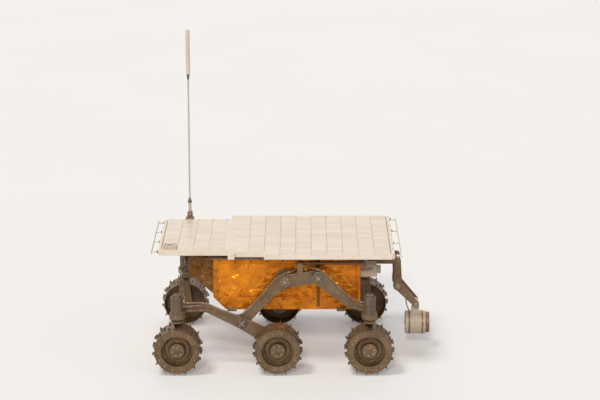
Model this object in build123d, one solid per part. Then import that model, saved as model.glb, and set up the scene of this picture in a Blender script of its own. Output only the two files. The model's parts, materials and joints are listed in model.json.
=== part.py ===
"""A small six-wheeled planetary rover, standing on its wheels.

A flat solar panel covers an insulated electronics box. Each side has a rocker with a fold joint, and a
bogie that carries the front and middle wheels. The four corner wheels steer. A whip antenna folds back over
the panel, and a contact sensor hangs on a powered arm behind the box.

Millimetres. +X is forward, +Y is the rover's left, +Z is up. Places along X are measured from the middle of
the solar panel. The export moves every piece by DECK_X, so that the origin is on the ground under the middle
of the overall length.
"""
from build123d import *

import os
from math import acos, atan2, cos, hypot, radians, sin

# Sides: the left side is built, and the right side is its mirror image.
LEFT, RIGHT = 1, -1

# Clearances
RUN_GAP = 0.1            # radial play of a turning shaft in its bore
SEAT_GAP = 0.2           # radial play of a fixed pin in its bore
PLATE_GAP = 2.0          # between two suspension plates on one pivot
MOVE_GAP = 5.0           # between a moving piece and what it passes
END_GAP = 1.0            # between a shaft's end and the floor of its bore
OVERCUT = 1.0            # a cutting tool reaches this far past the face that it opens

# Solar panel: a honeycomb deck, narrower ahead of the step
PANEL_THICK = 12.5
PANEL_LENGTH = 614.0
PANEL_WIDTH = 380.0
NOSE_LENGTH = 183.0
NOSE_WIDTH = 308.0
PANEL_CORNER = 9.0       # chamfer on the plan's corners
TAB_LENGTH = 17.0        # the step's tab ahead of the notch, left side only
NOTCH_LENGTH = 76.0
NOTCH_DEPTH = 22.0
PANEL_FRONT_X = PANEL_LENGTH / 2
PANEL_STEP_X = PANEL_FRONT_X - NOSE_LENGTH
PANEL_REAR_X = -PANEL_LENGTH / 2
NOTCH_FRONT_X = PANEL_STEP_X - TAB_LENGTH
NOTCH_REAR_X = NOTCH_FRONT_X - NOTCH_LENGTH
NOTCH_Y = PANEL_WIDTH / 2 - NOTCH_DEPTH

# Solar cells, as many as each part of the panel holds
CELL_LONG = 40.0         # along X
CELL_WIDE = 20.0         # along Y
CELL_GAP = 0.7
CELL_THICK = 0.6
CELL_MARGIN = 3.0        # least width of the panel's bare edge

# Dust experiment, in the place of the front row's first cells on the left
DUST_COLUMNS = 2
DUST_GAP = 2.5
DUST_TALL = 7.0
DUST_WINDOW_R = 8.0
DUST_WINDOW_DEEP = 1.5

# Contact-sensing bumper strips at both ends of the panel
BUMPER_OFF = 16.0
BUMPER_THICK = 2.0
BUMPER_TALL = 9.0
BUMPER_INSET = 4.0       # the strip is this much shorter than the panel at each end
BUMPER_PEG_R = 2.2
BUMPER_PEGS = 4

# Insulated electronics box
BOX_FRONT_X = 166.0
BOX_REAR_X = -220.0
BOX_BOTTOM_Z = 142.0
BOX_TOP_Z = 284.0
BOX_WIDTH = 236.0
BOX_FRONT_CUT = 34.0     # slope of the lower front edge
BOX_REAR_CUT = 22.0
BOX_EDGE_R = 4.0
BOX_UPRIGHT_R = 6.0
BAY_DEPTH = 2.5
BAY_MARGIN = 11.0
BAY_R = 9.0
SEAM_X = -110.0          # frame between the two bays of a side
LID_THICK = 5.0
LID_OVER = 5.0
POST_R = 8.0             # posts between the box and the panel
POST_TALL = 15.5
POST_INSET_X = 40.0
POST_INSET_Y = 26.0
BOX_SIDE_Y = BOX_WIDTH / 2
PANEL_LOW_Z = BOX_TOP_Z + POST_TALL
PANEL_TOP_Z = PANEL_LOW_Z + PANEL_THICK

# Tie-down lugs at the box's lower corners
LUG_OUT = 17.0
LUG_LONG = 24.0
LUG_THICK = 6.0
LUG_HOLE_R = 3.3
LUG_INSET_X = 50.0
LUG_HOLE_OUT = 9.0

# Suspension plates lie in two planes: the rocker's front arm inboard, bogie and rear arm outboard
ROCKER_OFF = 16.0        # from the box's side to the inner plate
INNER_THICK = 12.0
OUTER_THICK = 11.0
WHEEL_OFF = 11.0         # from the outer plate to the wheel
INNER_LOW_Y = BOX_SIDE_Y + ROCKER_OFF
INNER_HIGH_Y = INNER_LOW_Y + INNER_THICK
OUTER_LOW_Y = INNER_HIGH_Y + PLATE_GAP
OUTER_HIGH_Y = OUTER_LOW_Y + OUTER_THICK

# Wheels
WHEEL_R = 65.0           # out to the cleats' tips
RIM_R = 58.0
RIM_THICK = 1.6
WHEEL_WIDTH = 70.0
LIP_R = 41.0             # inner edge of the disc's outer lip
LIP_THICK = 1.6
LIP_SET = 1.2            # the lip lies this far inside the hoop's edge
CLEATS = 14              # in each of the three bands
CLEAT_THICK = 1.3
CLEAT_GAP = 2.0          # between the outer bands' cleats and the middle one's
RIM_FLATS = 2 * CLEATS   # the hoop is flat under each cleat, in every band
HUB_R = 19.0
HUB_FACE_T = 26.0        # hub cap's face, outward from the wheel's middle plane
HUB_BACK_T = 8.0
CUP_THICK = 1.6
WEB_THICK = 2.5
AXLE_R = 5.0
AXLE_END_T = 18.0
MOTOR_R = 17.0
MOTOR_END_T = 2.0
EYE_WALL = 4.0           # metal round a drive motor in the plate that carries it
CLEAT_LEAN = radians(90.0 / CLEATS)   # each wheel stands on neighbouring cleats, this far to either side
AXLE_Z = WHEEL_R * cos(CLEAT_LEAN) + CLEAT_THICK / 2 * sin(CLEAT_LEAN)
HALF_TRACK = OUTER_HIGH_Y + WHEEL_OFF + WHEEL_WIDTH / 2
WHEEL_IN_Y = HALF_TRACK - WHEEL_WIDTH / 2
FRONT_AXLE_X = 256.0
MIDDLE_AXLE_X = -4.0
REAR_AXLE_X = -242.0

# Suspension arms, as places (x, z) seen from the side
ROCKER_PIVOT = (-22.0, 226.0)
ROCKER_PIVOT_R = 18.0
FOLD_PIVOT = (-109.0, 240.0)
FOLD_R = 17.0
KNEE = (8.0, 202.0)
KNEE_R = 12.0
BOGIE_PIVOT = (90.0, 116.0)
BOGIE_R = 15.0
FRONT_ELBOW = (184.0, 158.0)
REAR_ELBOW = (-192.0, 168.0)
ELBOW_R = 9.5
ARM_END_R = 6.5
LINK_DROP = 14.0         # from the box's top down to the differential bar and its rods
LEVER_X = -62.0
LEVER_R = 7.0
POCKET_DEPTH = 2.5       # milled out of an arm's outer face
POCKET_RIM = 4.0
BOSS_RIM = 2.0           # a boss in the pocket is this much wider than what sits on it
PIN_R = 7.0
PIN_CAP_R = 12.0
PIN_CAP_THICK = 4.0
HUB_SHAFT_R = 11.0
HUB_FLANGE_R = 26.0
HUB_FLANGE_THICK = 6.0
HUB_CAP_R = 15.0
HUB_CAP_THICK = 5.0
LINK_TOP_Z = BOX_TOP_Z - LINK_DROP

# Steering heads
BRACKET_THICK = 6.0
BRACKET_HALF = 14.0      # half the bracket's width at its bend
BRACKET_SHAFT_R = 16.0   # metal round the steering shaft
BRACKET_BEND_R = 8.0
LEG_THICK = 7.0
STEER_SHAFT_R = 7.0
STEER_BOSS_R = 20.0
STEER_ROOF = 2.0         # metal over the steering shaft's bore
STEER_FLANGE_R = 18.0
STEER_FLANGE_TALL = 3.0
STEER_MOTOR_R = 15.0
STEER_MOTOR_TALL = 46.0  # with its flange
STEER_CAP_R = 11.0
STEER_CAP_TALL = 5.0
BRACKET_LOW_Z = AXLE_Z + WHEEL_R + MOVE_GAP
BRACKET_TOP_Z = BRACKET_LOW_Z + BRACKET_THICK
ARM_LOW_Z = BRACKET_TOP_Z + MOVE_GAP
ARM_END_Z = ARM_LOW_Z + ARM_END_R
ARM_TOP_Z = ARM_END_Z + ARM_END_R
LEG_OUT_Y = WHEEL_IN_Y - MOVE_GAP
LEG_IN_Y = LEG_OUT_Y - LEG_THICK

# Differential bar behind the box
DIFF_OFF = 14.0
DIFF_BAR_R = 5.0
DIFF_ROD_R = 3.5
DIFF_ROD_OFF = 8.0       # from the box's side to the rod
DIFF_END_R = 6.5
DIFF_END_TALL = 14.0
DIFF_PIVOT_R = 10.0
DIFF_PIVOT_TALL = 18.0
DIFF_BLOCK = (14.0, 12.0)   # along Y and Z, behind the box
DIFF_BAR_X = BOX_REAR_X - DIFF_OFF
DIFF_ROD_Y = BOX_SIDE_Y + DIFF_ROD_OFF

# Antenna, on the right of the panel's nose
MAST_X = 239.0
MAST_OUT = 12.0          # from the nose's edge
MAST_PIVOT_UP = 14.0     # hinge axis over the panel's top
MAST_TOP_Z = 835.0
MAST_ROD_R = 2.2
MAST_TIP_R = 5.5
MAST_TIP_LONG = 122.0
MAST_TIP_CUT = 1.5
MAST_FOOT_R = 4.2
MAST_FOOT_LONG = 34.0
MAST_KNUCKLE_R = 6.0
MAST_KNUCKLE_HALF = 5.0
MAST_EAR_R = 7.0
MAST_EAR_THICK = 3.0
MAST_EAR_GAP = 0.5
MAST_EAR_SUNK = 2.0      # the ears start this far below the panel's top
MAST_PIN_R = 2.5
MAST_BLOCK_LONG = 22.0
MAST_BLOCK_OVER = 3.0
MAST_PIVOT_Z = PANEL_TOP_Z + MAST_PIVOT_UP
MAST_Y = -(NOSE_WIDTH / 2 + MAST_OUT)
MAST_EAR_Y = MAST_KNUCKLE_HALF + MAST_EAR_GAP   # inner face of an ear, from the mast

# Front hood, whose face is tilted down and carries two cameras over the light-stripe projectors
HOOD_LONG = 66.0
HOOD_WIDTH = 190.0
HOOD_THICK = 4.0
HOOD_DROP = 8.0          # from the box's top
HOOD_FRONT_TALL = 40.0
HOOD_TOP_Z = BOX_TOP_Z - HOOD_DROP
HOOD_LOW_OVER = 2.0      # cheeks end this far above the box's sloping edge
FACE_OFF = 17.5
FACE_Z = 238.0
FACE_TILT = 22.0
FACE_DOWN = 34.0
FACE_UP = 35.0
CAMERA_Y = 62.5
CAMERA_UP = 18.0
CAMERA_BODY = (44.0, 34.0, 34.0)
CAMERA_EDGE_CUT = 2.0
CAMERA_LENS_R = 11.0
CAMERA_LENS_LONG = 9.0
LASER_DOWN = 22.0
LASER_BAR = (16.0, 146.0, 15.0)
LASER_COUNT = 5
LASER_PITCH = 30.0
LASER_R = 5.0
LASER_LONG = 5.0
REAR_CAMERA_IN = 42.0    # from the box's side to the camera's middle
REAR_CAMERA_Z = 240.0

# Contact sensor on its arm
SENSOR_PIVOT = (-322.0, 180.0)
SENSOR_BEAM_Z = 250.0
SENSOR_CHEEK_Y = 30.0
SENSOR_CHEEK_THICK = 6.0
SENSOR_CHEEK_R = 8.0
SENSOR_AXLE_R = 5.0
SENSOR_FOOT_LONG = 10.0
SENSOR_EYE_R = 12.0
SENSOR_TUBE_R = 10.0
SENSOR_LINK_THICK = 5.0
SENSOR_LINK_GAP = 3.0
WRIST = (-372.0, 126.0)
WRIST_R = 8.0
WRIST_PIN_R = 3.5
HEAD_Z = 68.0
HEAD_R = 31.0
HEAD_FRONT_X = -345.0
HEAD_BACK_X = -398.0
HEAD_LUG_R = 14.0
HEAD_LUG_HALF = 12.0
RING_LONG = 11.0
RING_OUT_R = 28.0
RING_IN_R = 20.0
SENSOR_CHEEK_OUT_Y = SENSOR_CHEEK_Y + SENSOR_CHEEK_THICK
SENSOR_LINK_OUT_Y = SENSOR_CHEEK_Y - SENSOR_LINK_GAP
SENSOR_LINK_IN_Y = SENSOR_LINK_OUT_Y - SENSOR_LINK_THICK
RING_BACK_X = HEAD_BACK_X - RING_LONG

# From the panel's middle to the middle of the overall length, front bumper to contact ring
DECK_X = -(PANEL_FRONT_X + BUMPER_OFF + BUMPER_THICK + RING_BACK_X) / 2


def box(x_span, y_span, z_span):
    """A block between two values on each axis, given in either order."""
    spans = (x_span, y_span, z_span)
    return Pos(*(sum(span) / 2 for span in spans)) * Box(*(abs(span[1] - span[0]) for span in spans))


def rod(start, end, radius):
    """A round bar between two points."""
    along = Vector(*end) - Vector(*start)
    place = Plane(origin=start, z_dir=along)
    return Solid.make_cylinder(radius, along.length, place)


def side_rod(place, y_span, radius):
    """A round bar along Y, at a place (x, z)."""
    (x, z), (low, high) = place, y_span
    return rod((x, low, z), (x, high, z), radius)


def strap(stations):
    """A flat outline round a chain of circles (u, v, radius), each joined to the next by its tangents."""
    outline = Sketch()
    for u, v, radius in stations:
        outline += Pos(u, v) * Circle(radius)
    for (u0, v0, r0), (u1, v1, r1) in zip(stations, stations[1:]):
        heading = atan2(v1 - v0, u1 - u0)
        lean = acos((r0 - r1) / hypot(u1 - u0, v1 - v0))
        corners = [
            (u + r * cos(heading + side * lean), v + r * sin(heading + side * lean))
            for u, v, r, side in ((u0, v0, r0, 1), (u1, v1, r1, 1), (u1, v1, r1, -1), (u0, v0, r0, -1))
        ]
        outline += make_face(Polyline(*corners, close=True))
    return outline


def side_face(outline, y_span):
    """A flat outline drawn in x and z, made solid between two values of y."""
    low, high = y_span
    place = Plane(origin=(0, high, 0), x_dir=(1, 0, 0), z_dir=(0, -1, 0))
    return extrude(place * outline, amount=high - low)


def side_plate(stations, y_span):
    """A strap seen from the side, as stations (x, z, radius), between two values of y."""
    return side_face(strap(stations), y_span)


def plan_plate(stations, z_span):
    """A strap seen from above, as stations (x, y, radius), between two values of z."""
    low, high = z_span
    return extrude(Plane(origin=(0, 0, low)) * strap(stations), amount=high - low)


def on_side(side, piece):
    """The left side's piece, or its mirror image on the right."""
    return piece if side == LEFT else mirror(piece, about=Plane.XZ)


def solar_panel():
    nose, body = NOSE_WIDTH / 2, PANEL_WIDTH / 2
    outline = [
        (PANEL_FRONT_X, -nose + PANEL_CORNER),
        (PANEL_FRONT_X, nose - PANEL_CORNER),
        (PANEL_FRONT_X - PANEL_CORNER, nose),
        (PANEL_STEP_X, nose),
        (PANEL_STEP_X, body),
        (NOTCH_FRONT_X, body),
        (NOTCH_FRONT_X, NOTCH_Y),
        (NOTCH_REAR_X, NOTCH_Y),
        (NOTCH_REAR_X, body),
        (PANEL_REAR_X + PANEL_CORNER, body),
        (PANEL_REAR_X, body - PANEL_CORNER),
        (PANEL_REAR_X, -body + PANEL_CORNER),
        (PANEL_REAR_X + PANEL_CORNER, -body),
        (PANEL_STEP_X, -body),
        (PANEL_STEP_X, -nose),
        (PANEL_FRONT_X - PANEL_CORNER, -nose),
    ]
    face = make_face(Polyline(*outline, close=True))
    return extrude(Pos(0, 0, PANEL_LOW_Z) * face, amount=PANEL_THICK)


def cell_spans():
    """Each cell's x and y spans, row by row from the front and from the left, with the row's number."""
    pitch_x, pitch_y = CELL_LONG + CELL_GAP, CELL_WIDE + CELL_GAP
    spans = []
    for front, rear, width in (
        (PANEL_FRONT_X, PANEL_STEP_X, NOSE_WIDTH),
        (PANEL_STEP_X, PANEL_REAR_X, PANEL_WIDTH),
    ):
        rows = int((front - rear - 2 * CELL_MARGIN) / pitch_x)
        columns = int((width - 2 * CELL_MARGIN) / pitch_y)
        for row in range(rows):
            x = (front + rear + CELL_LONG) / 2 + ((rows - 1) / 2 - row) * pitch_x
            for column in range(columns):
                y = CELL_WIDE / 2 + ((columns - 1) / 2 - column) * pitch_y
                spans.append(((x - CELL_LONG, x), (y - CELL_WIDE, y)))
    return spans


def cell_rows():
    """The cells that lie clear of the notch and of the dust experiment."""
    cells = []
    for x_span, y_span in cell_spans()[DUST_COLUMNS:]:
        beside_notch = NOTCH_REAR_X < x_span[1] and x_span[0] < PANEL_STEP_X
        if not (beside_notch and y_span[1] > NOTCH_Y):
            cells.append(box(x_span, y_span, (PANEL_TOP_Z, PANEL_TOP_Z + CELL_THICK)))
    return Compound(cells)


def dust_experiment():
    """A low housing with a round window, on the nose's left front corner."""
    places = cell_spans()[:DUST_COLUMNS]
    (x0, x1), (_, y1) = places[0]
    y0 = places[-1][1][0]
    top = PANEL_TOP_Z + DUST_TALL
    housing = box((x0 + DUST_GAP, x1 - DUST_GAP), (y0 + DUST_GAP, y1 - DUST_GAP), (PANEL_TOP_Z, top))
    middle = ((x0 + x1) / 2, (y0 + y1) / 2)
    return housing - rod((*middle, top - DUST_WINDOW_DEEP), (*middle, top + OVERCUT), DUST_WINDOW_R)


def bumper(direction):
    """A thin strip on pegs, ahead of the panel (direction 1) or behind it (-1)."""
    edge = PANEL_FRONT_X if direction > 0 else PANEL_REAR_X
    half = (NOSE_WIDTH if direction > 0 else PANEL_WIDTH) / 2 - BUMPER_INSET
    middle_z = PANEL_TOP_Z - PANEL_THICK / 2
    inner = edge + direction * BUMPER_OFF
    outer = inner + direction * BUMPER_THICK
    strip = box((inner, outer), (-half, half), (middle_z - BUMPER_TALL / 2, middle_z + BUMPER_TALL / 2))
    reach = half - PANEL_CORNER - BUMPER_PEG_R
    for peg in range(BUMPER_PEGS):
        y = -reach + 2 * reach * peg / (BUMPER_PEGS - 1)
        strip += rod((edge, y, middle_z), (inner, y, middle_z), BUMPER_PEG_R)
    return strip


def warm_box():
    """The insulated box, with two framed bays in each side and sloping lower ends."""
    top = BOX_TOP_Z - LID_THICK
    outline = [
        (BOX_FRONT_X, top),
        (BOX_REAR_X, top),
        (BOX_REAR_X, BOX_BOTTOM_Z + BOX_REAR_CUT),
        (BOX_REAR_X + BOX_REAR_CUT, BOX_BOTTOM_Z),
        (BOX_FRONT_X - BOX_FRONT_CUT, BOX_BOTTOM_Z),
        (BOX_FRONT_X, BOX_BOTTOM_Z + BOX_FRONT_CUT),
    ]
    body = side_face(make_face(Polyline(*outline, close=True)), (-BOX_SIDE_Y, BOX_SIDE_Y))
    body = fillet(body.edges().filter_by(Axis.Y).group_by(Axis.Z)[0], BOX_EDGE_R)
    body = fillet(body.edges().filter_by(Axis.Z), BOX_UPRIGHT_R)
    low, high = BOX_BOTTOM_Z + BOX_FRONT_CUT, top - BAY_MARGIN
    # rear end and front end of each bay
    for rear, front in (
        (BOX_REAR_X + BAY_MARGIN, SEAM_X - BAY_MARGIN / 2),
        (SEAM_X + BAY_MARGIN / 2, BOX_FRONT_X - BAY_MARGIN),
    ):
        opening = RectangleRounded(front - rear, high - low, BAY_R)
        place = Pos((rear + front) / 2, (low + high) / 2)
        bay = side_face(place * opening, (BOX_SIDE_Y - BAY_DEPTH, BOX_SIDE_Y + OVERCUT))
        for side in (LEFT, RIGHT):
            body -= on_side(side, bay)
    return body


def box_lid():
    """The lid's flange, which spreads the panel's posts."""
    half = BOX_SIDE_Y + LID_OVER
    x_span = (BOX_REAR_X - LID_OVER, BOX_FRONT_X + LID_OVER)
    return box(x_span, (-half, half), (BOX_TOP_Z - LID_THICK, BOX_TOP_Z))


def panel_posts():
    posts = []
    for x in (BOX_REAR_X + POST_INSET_X, (BOX_REAR_X + BOX_FRONT_X) / 2, BOX_FRONT_X - POST_INSET_X):
        for side in (LEFT, RIGHT):
            y = side * (BOX_SIDE_Y - POST_INSET_Y)
            posts.append(rod((x, y, BOX_TOP_Z), (x, y, PANEL_LOW_Z), POST_R))
    return Compound(posts)


def lug_places():
    """Centres of the four tie-down holes, seen from above."""
    y = BOX_SIDE_Y + LUG_HOLE_OUT
    return [
        (x, side * y)
        for x in (BOX_REAR_X + LUG_INSET_X, BOX_FRONT_X - LUG_INSET_X)
        for side in (LEFT, RIGHT)
    ]


def tie_down_lugs():
    """Four lugs that reach out from the box's lower edges, each with a plain hole."""
    low, high = BOX_BOTTOM_Z, BOX_BOTTOM_Z + LUG_THICK
    lugs = []
    for x, y in lug_places():
        side = LEFT if y > 0 else RIGHT
        lug = box(
            (x - LUG_LONG / 2, x + LUG_LONG / 2),
            (side * BOX_SIDE_Y, side * (BOX_SIDE_Y + LUG_OUT)),
            (low, high),
        )
        lugs.append(lug - rod((x, y, low - OVERCUT), (x, y, high + OVERCUT), LUG_HOLE_R))
    return Compound([solid for lug in lugs for solid in lug.solids()])


def ring_profile(points):
    """A closed outline of (radius, distance along the axle), turned about the axle."""
    return revolve(make_face(Polyline(*points, close=True)), Axis.Y, 360)


def hoop_band(low, high, first_flat):
    """One band of the wheel's hoop, between two values along the axle, with a cleat on every second flat."""
    step = 360.0 / RIM_FLATS
    outline = RegularPolygon(RIM_R, RIM_FLATS, major_radius=False, rotation=step / 2)
    outline -= RegularPolygon(RIM_R - RIM_THICK, RIM_FLATS, major_radius=False, rotation=step / 2)
    place = Plane(origin=(0, high, 0), x_dir=(0, 0, -1), z_dir=(0, -1, 0))
    if first_flat is not None:
        root = RIM_R - RIM_THICK / 2
        blade = Pos((root + WHEEL_R) / 2, 0) * Rectangle(WHEEL_R - root, CLEAT_THICK)
        outline += [Rot(0, 0, (flat + 0.5) * step) * blade for flat in range(first_flat, RIM_FLATS, 2)]
    return extrude(place * outline, amount=high - low)


def wheel_tread():
    """The hoop and its three bands of staggered cleats, about the origin with +Y outward."""
    half = WHEEL_WIDTH / 2
    band = (WHEEL_WIDTH - 2 * CLEAT_GAP) / 3
    # low edge and high edge along the axle, and the first flat that has a cleat
    bands = [
        (-half, -half + band, 0),
        (-half + band, -band / 2, None),
        (-band / 2, band / 2, 1),
        (band / 2, half - band, None),
        (half - band, half, 0),
    ]
    pieces = [hoop_band(low, high, first) for low, high, first in bands]
    return pieces[0].fuse(*pieces[1:]).clean()


def wheel_disc():
    """The pressed cup inside the hoop, with its lip, flat web, hub cap and blind bore for the axle."""
    face_t = WHEEL_WIDTH / 2 - LIP_SET
    seat_r = RIM_R - RIM_THICK
    bore_end_t = AXLE_END_T + MOVE_GAP / 2
    return ring_profile(
        [
            (AXLE_R + RUN_GAP, HUB_BACK_T),
            (seat_r, HUB_BACK_T),
            (seat_r, face_t),
            (LIP_R, face_t),
            (LIP_R, face_t - LIP_THICK),
            (seat_r - CUP_THICK, face_t - LIP_THICK),
            (seat_r - CUP_THICK, HUB_BACK_T + WEB_THICK),
            (HUB_R, HUB_BACK_T + WEB_THICK),
            (HUB_R, HUB_FACE_T),
            (0, HUB_FACE_T),
            (0, bore_end_t),
            (AXLE_R + RUN_GAP, bore_end_t),
        ]
    )


def drive_motor(inner_y):
    """The drive motor's housing and its axle, from the plate that carries it into the wheel."""
    housing = side_rod((0, 0), (inner_y, HALF_TRACK + MOTOR_END_T), MOTOR_R)
    return housing + side_rod((0, 0), (inner_y, HALF_TRACK + AXLE_END_T), AXLE_R)


def milled_plate(stations, y_span, bosses):
    """A side plate with a pocket milled in its outer face, and round bosses (place, radius) left in it."""
    floor, high = y_span[1] - POCKET_DEPTH, y_span[1] + OVERCUT
    pocket = side_plate([(x, z, radius - POCKET_RIM) for x, z, radius in stations], (floor, high))
    for place, radius in bosses:
        pocket -= side_rod(place, (floor - OVERCUT, high + OVERCUT), radius + BOSS_RIM)
    return side_plate(stations, y_span) - pocket


def rocker_front_arm():
    """From the fold joint over the box pivot and down to the bogie, with the differential's lever."""
    span = (INNER_LOW_Y, INNER_HIGH_Y)
    arm = milled_plate(
        [(*FOLD_PIVOT, FOLD_R), (*ROCKER_PIVOT, ROCKER_PIVOT_R), (*KNEE, KNEE_R), (*BOGIE_PIVOT, BOGIE_R)],
        span,
        [(FOLD_PIVOT, PIN_CAP_R), (ROCKER_PIVOT, HUB_CAP_R), (BOGIE_PIVOT, PIN_CAP_R)],
    )
    lever_low_z = (FOLD_PIVOT[1] + ROCKER_PIVOT[1]) / 2
    arm += side_plate([(LEVER_X, lever_low_z, LEVER_R), (LEVER_X, LINK_TOP_Z, LEVER_R)], span)
    for place, radius in ((FOLD_PIVOT, PIN_R), (ROCKER_PIVOT, HUB_SHAFT_R), (BOGIE_PIVOT, PIN_R)):
        arm -= side_rod(place, (INNER_LOW_Y - OVERCUT, INNER_HIGH_Y + OVERCUT), radius + SEAT_GAP)
    return arm


def outer_arm(stations, pivot, bosses, axle_x):
    """An arm in the outer plane, bored for its pin, with a plate that reaches out over a corner wheel."""
    arm = milled_plate(stations, (OUTER_LOW_Y, OUTER_HIGH_Y), bosses)
    middle_y = (OUTER_LOW_Y + OUTER_HIGH_Y) / 2
    arm += plan_plate(
        [(axle_x, middle_y, OUTER_THICK / 2), (axle_x, HALF_TRACK, STEER_BOSS_R)], (ARM_LOW_Z, ARM_TOP_Z)
    )
    arm -= side_rod(pivot, (OUTER_LOW_Y - OVERCUT, OUTER_HIGH_Y + OVERCUT), PIN_R + SEAT_GAP)
    bore_top = (axle_x, HALF_TRACK, ARM_TOP_Z - STEER_ROOF)
    return arm - rod((axle_x, HALF_TRACK, ARM_LOW_Z - OVERCUT), bore_top, STEER_SHAFT_R + RUN_GAP)


def rocker_rear_arm():
    """From the fold joint down and out over the rear wheel."""
    stations = [(*FOLD_PIVOT, FOLD_R), (*REAR_ELBOW, ELBOW_R), (REAR_AXLE_X, ARM_END_Z, ARM_END_R)]
    return outer_arm(stations, FOLD_PIVOT, [(FOLD_PIVOT, PIN_CAP_R)], REAR_AXLE_X)


def bogie():
    """From the middle wheel's axle up to the pivot, and on over the front wheel."""
    axle = (MIDDLE_AXLE_X, AXLE_Z)
    stations = [
        (*axle, MOTOR_R + EYE_WALL),
        (*BOGIE_PIVOT, BOGIE_R),
        (*FRONT_ELBOW, ELBOW_R),
        (FRONT_AXLE_X, ARM_END_Z, ARM_END_R),
    ]
    return outer_arm(stations, BOGIE_PIVOT, [(axle, MOTOR_R), (BOGIE_PIVOT, PIN_CAP_R)], FRONT_AXLE_X)


def pivot_pin(place):
    """A pin through both suspension plates, with a cap on its outer end."""
    cap = side_rod(place, (OUTER_HIGH_Y, OUTER_HIGH_Y + PIN_CAP_THICK), PIN_CAP_R)
    return side_rod(place, (INNER_LOW_Y, OUTER_HIGH_Y), PIN_R) + cap


def rocker_hub():
    """The flanged shaft on the box's side that the rocker turns on."""
    side_y = BOX_SIDE_Y - BAY_DEPTH
    hub = side_rod(ROCKER_PIVOT, (side_y, side_y + HUB_FLANGE_THICK), HUB_FLANGE_R)
    hub += side_rod(ROCKER_PIVOT, (side_y, INNER_HIGH_Y), HUB_SHAFT_R)
    return hub + side_rod(ROCKER_PIVOT, (INNER_HIGH_Y, INNER_HIGH_Y + HUB_CAP_THICK), HUB_CAP_R)


def steering_motor(axle_x):
    """The can over a steering shaft, with its flange and end cap."""
    motor = None
    z = ARM_TOP_Z
    for tall, radius in (
        (STEER_FLANGE_TALL, STEER_FLANGE_R),
        (STEER_MOTOR_TALL - STEER_FLANGE_TALL, STEER_MOTOR_R),
        (STEER_CAP_TALL, STEER_CAP_R),
    ):
        piece = rod((axle_x, HALF_TRACK, z), (axle_x, HALF_TRACK, z + tall), radius)
        motor = piece if motor is None else motor + piece
        z += tall
    return motor


def steering_bracket(axle_x):
    """The bent bracket that hangs a corner wheel from its steering shaft, with the wheel's drive motor."""
    sides = (axle_x - BRACKET_HALF, axle_x + BRACKET_HALF)
    leg_top = (axle_x, BRACKET_LOW_Z - BRACKET_HALF, BRACKET_HALF)
    bracket = box(sides, (LEG_IN_Y, HALF_TRACK), (BRACKET_LOW_Z, BRACKET_TOP_Z))
    bracket += box(sides, (LEG_IN_Y, LEG_OUT_Y), (leg_top[1], BRACKET_TOP_Z))
    corner = bracket.edges().filter_by(Axis.X).sort_by(Axis.Z)[-2:].sort_by(Axis.Y)[0]
    bracket = fillet(corner, BRACKET_BEND_R)
    bracket += rod((axle_x, HALF_TRACK, BRACKET_LOW_Z), (axle_x, HALF_TRACK, BRACKET_TOP_Z), BRACKET_SHAFT_R)
    bracket += side_plate([leg_top, (axle_x, AXLE_Z, MOTOR_R + EYE_WALL)], (LEG_IN_Y, LEG_OUT_Y))
    shaft_top = (axle_x, HALF_TRACK, ARM_TOP_Z - STEER_ROOF - END_GAP)
    bracket += rod((axle_x, HALF_TRACK, BRACKET_LOW_Z), shaft_top, STEER_SHAFT_R)
    return bracket + Pos(axle_x, 0, AXLE_Z) * drive_motor(LEG_IN_Y)


def differential():
    """The cross bar behind the box, its pivot, and a rod forward to each rocker's lever."""
    wide, tall = DIFF_BLOCK
    bar = side_rod((DIFF_BAR_X, LINK_TOP_Z), (-DIFF_ROD_Y, DIFF_ROD_Y), DIFF_BAR_R)
    z_span = (LINK_TOP_Z - tall / 2, LINK_TOP_Z + tall / 2)
    bar += box((DIFF_BAR_X, BOX_REAR_X), (-wide / 2, wide / 2), z_span)
    # upright cylinders: place across, radius, height
    for y, radius, height in (
        (0, DIFF_PIVOT_R, DIFF_PIVOT_TALL),
        (DIFF_ROD_Y, DIFF_END_R, DIFF_END_TALL),
        (-DIFF_ROD_Y, DIFF_END_R, DIFF_END_TALL),
    ):
        low, high = LINK_TOP_Z - height / 2, LINK_TOP_Z + height / 2
        bar += rod((DIFF_BAR_X, y, low), (DIFF_BAR_X, y, high), radius)
    for side in (LEFT, RIGHT):
        y = side * DIFF_ROD_Y
        bar += rod((DIFF_BAR_X, y, LINK_TOP_Z), (LEVER_X, y, LINK_TOP_Z), DIFF_ROD_R)
        bar += rod((LEVER_X, y, LINK_TOP_Z), (LEVER_X, side * INNER_LOW_Y, LINK_TOP_Z), DIFF_ROD_R)
    return bar


def antenna_base():
    """A bracket on the nose's right edge, with two ears for the mast's knuckle."""
    reach = MAST_EAR_Y + MAST_EAR_THICK
    block = box(
        (MAST_X - MAST_BLOCK_LONG / 2, MAST_X + MAST_BLOCK_LONG / 2),
        (MAST_Y - reach, -NOSE_WIDTH / 2),
        (PANEL_LOW_Z, PANEL_TOP_Z + MAST_BLOCK_OVER),
    )
    ear = [(MAST_X, PANEL_TOP_Z - MAST_EAR_SUNK, MAST_EAR_R), (MAST_X, MAST_PIVOT_Z, MAST_EAR_R)]
    block += side_plate(ear, (MAST_Y - reach, MAST_Y - MAST_EAR_Y))
    block += side_plate(ear, (MAST_Y + MAST_EAR_Y, MAST_Y + reach))
    reach += OVERCUT
    return block - side_rod((MAST_X, MAST_PIVOT_Z), (MAST_Y - reach, MAST_Y + reach), MAST_PIN_R + RUN_GAP)


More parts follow.
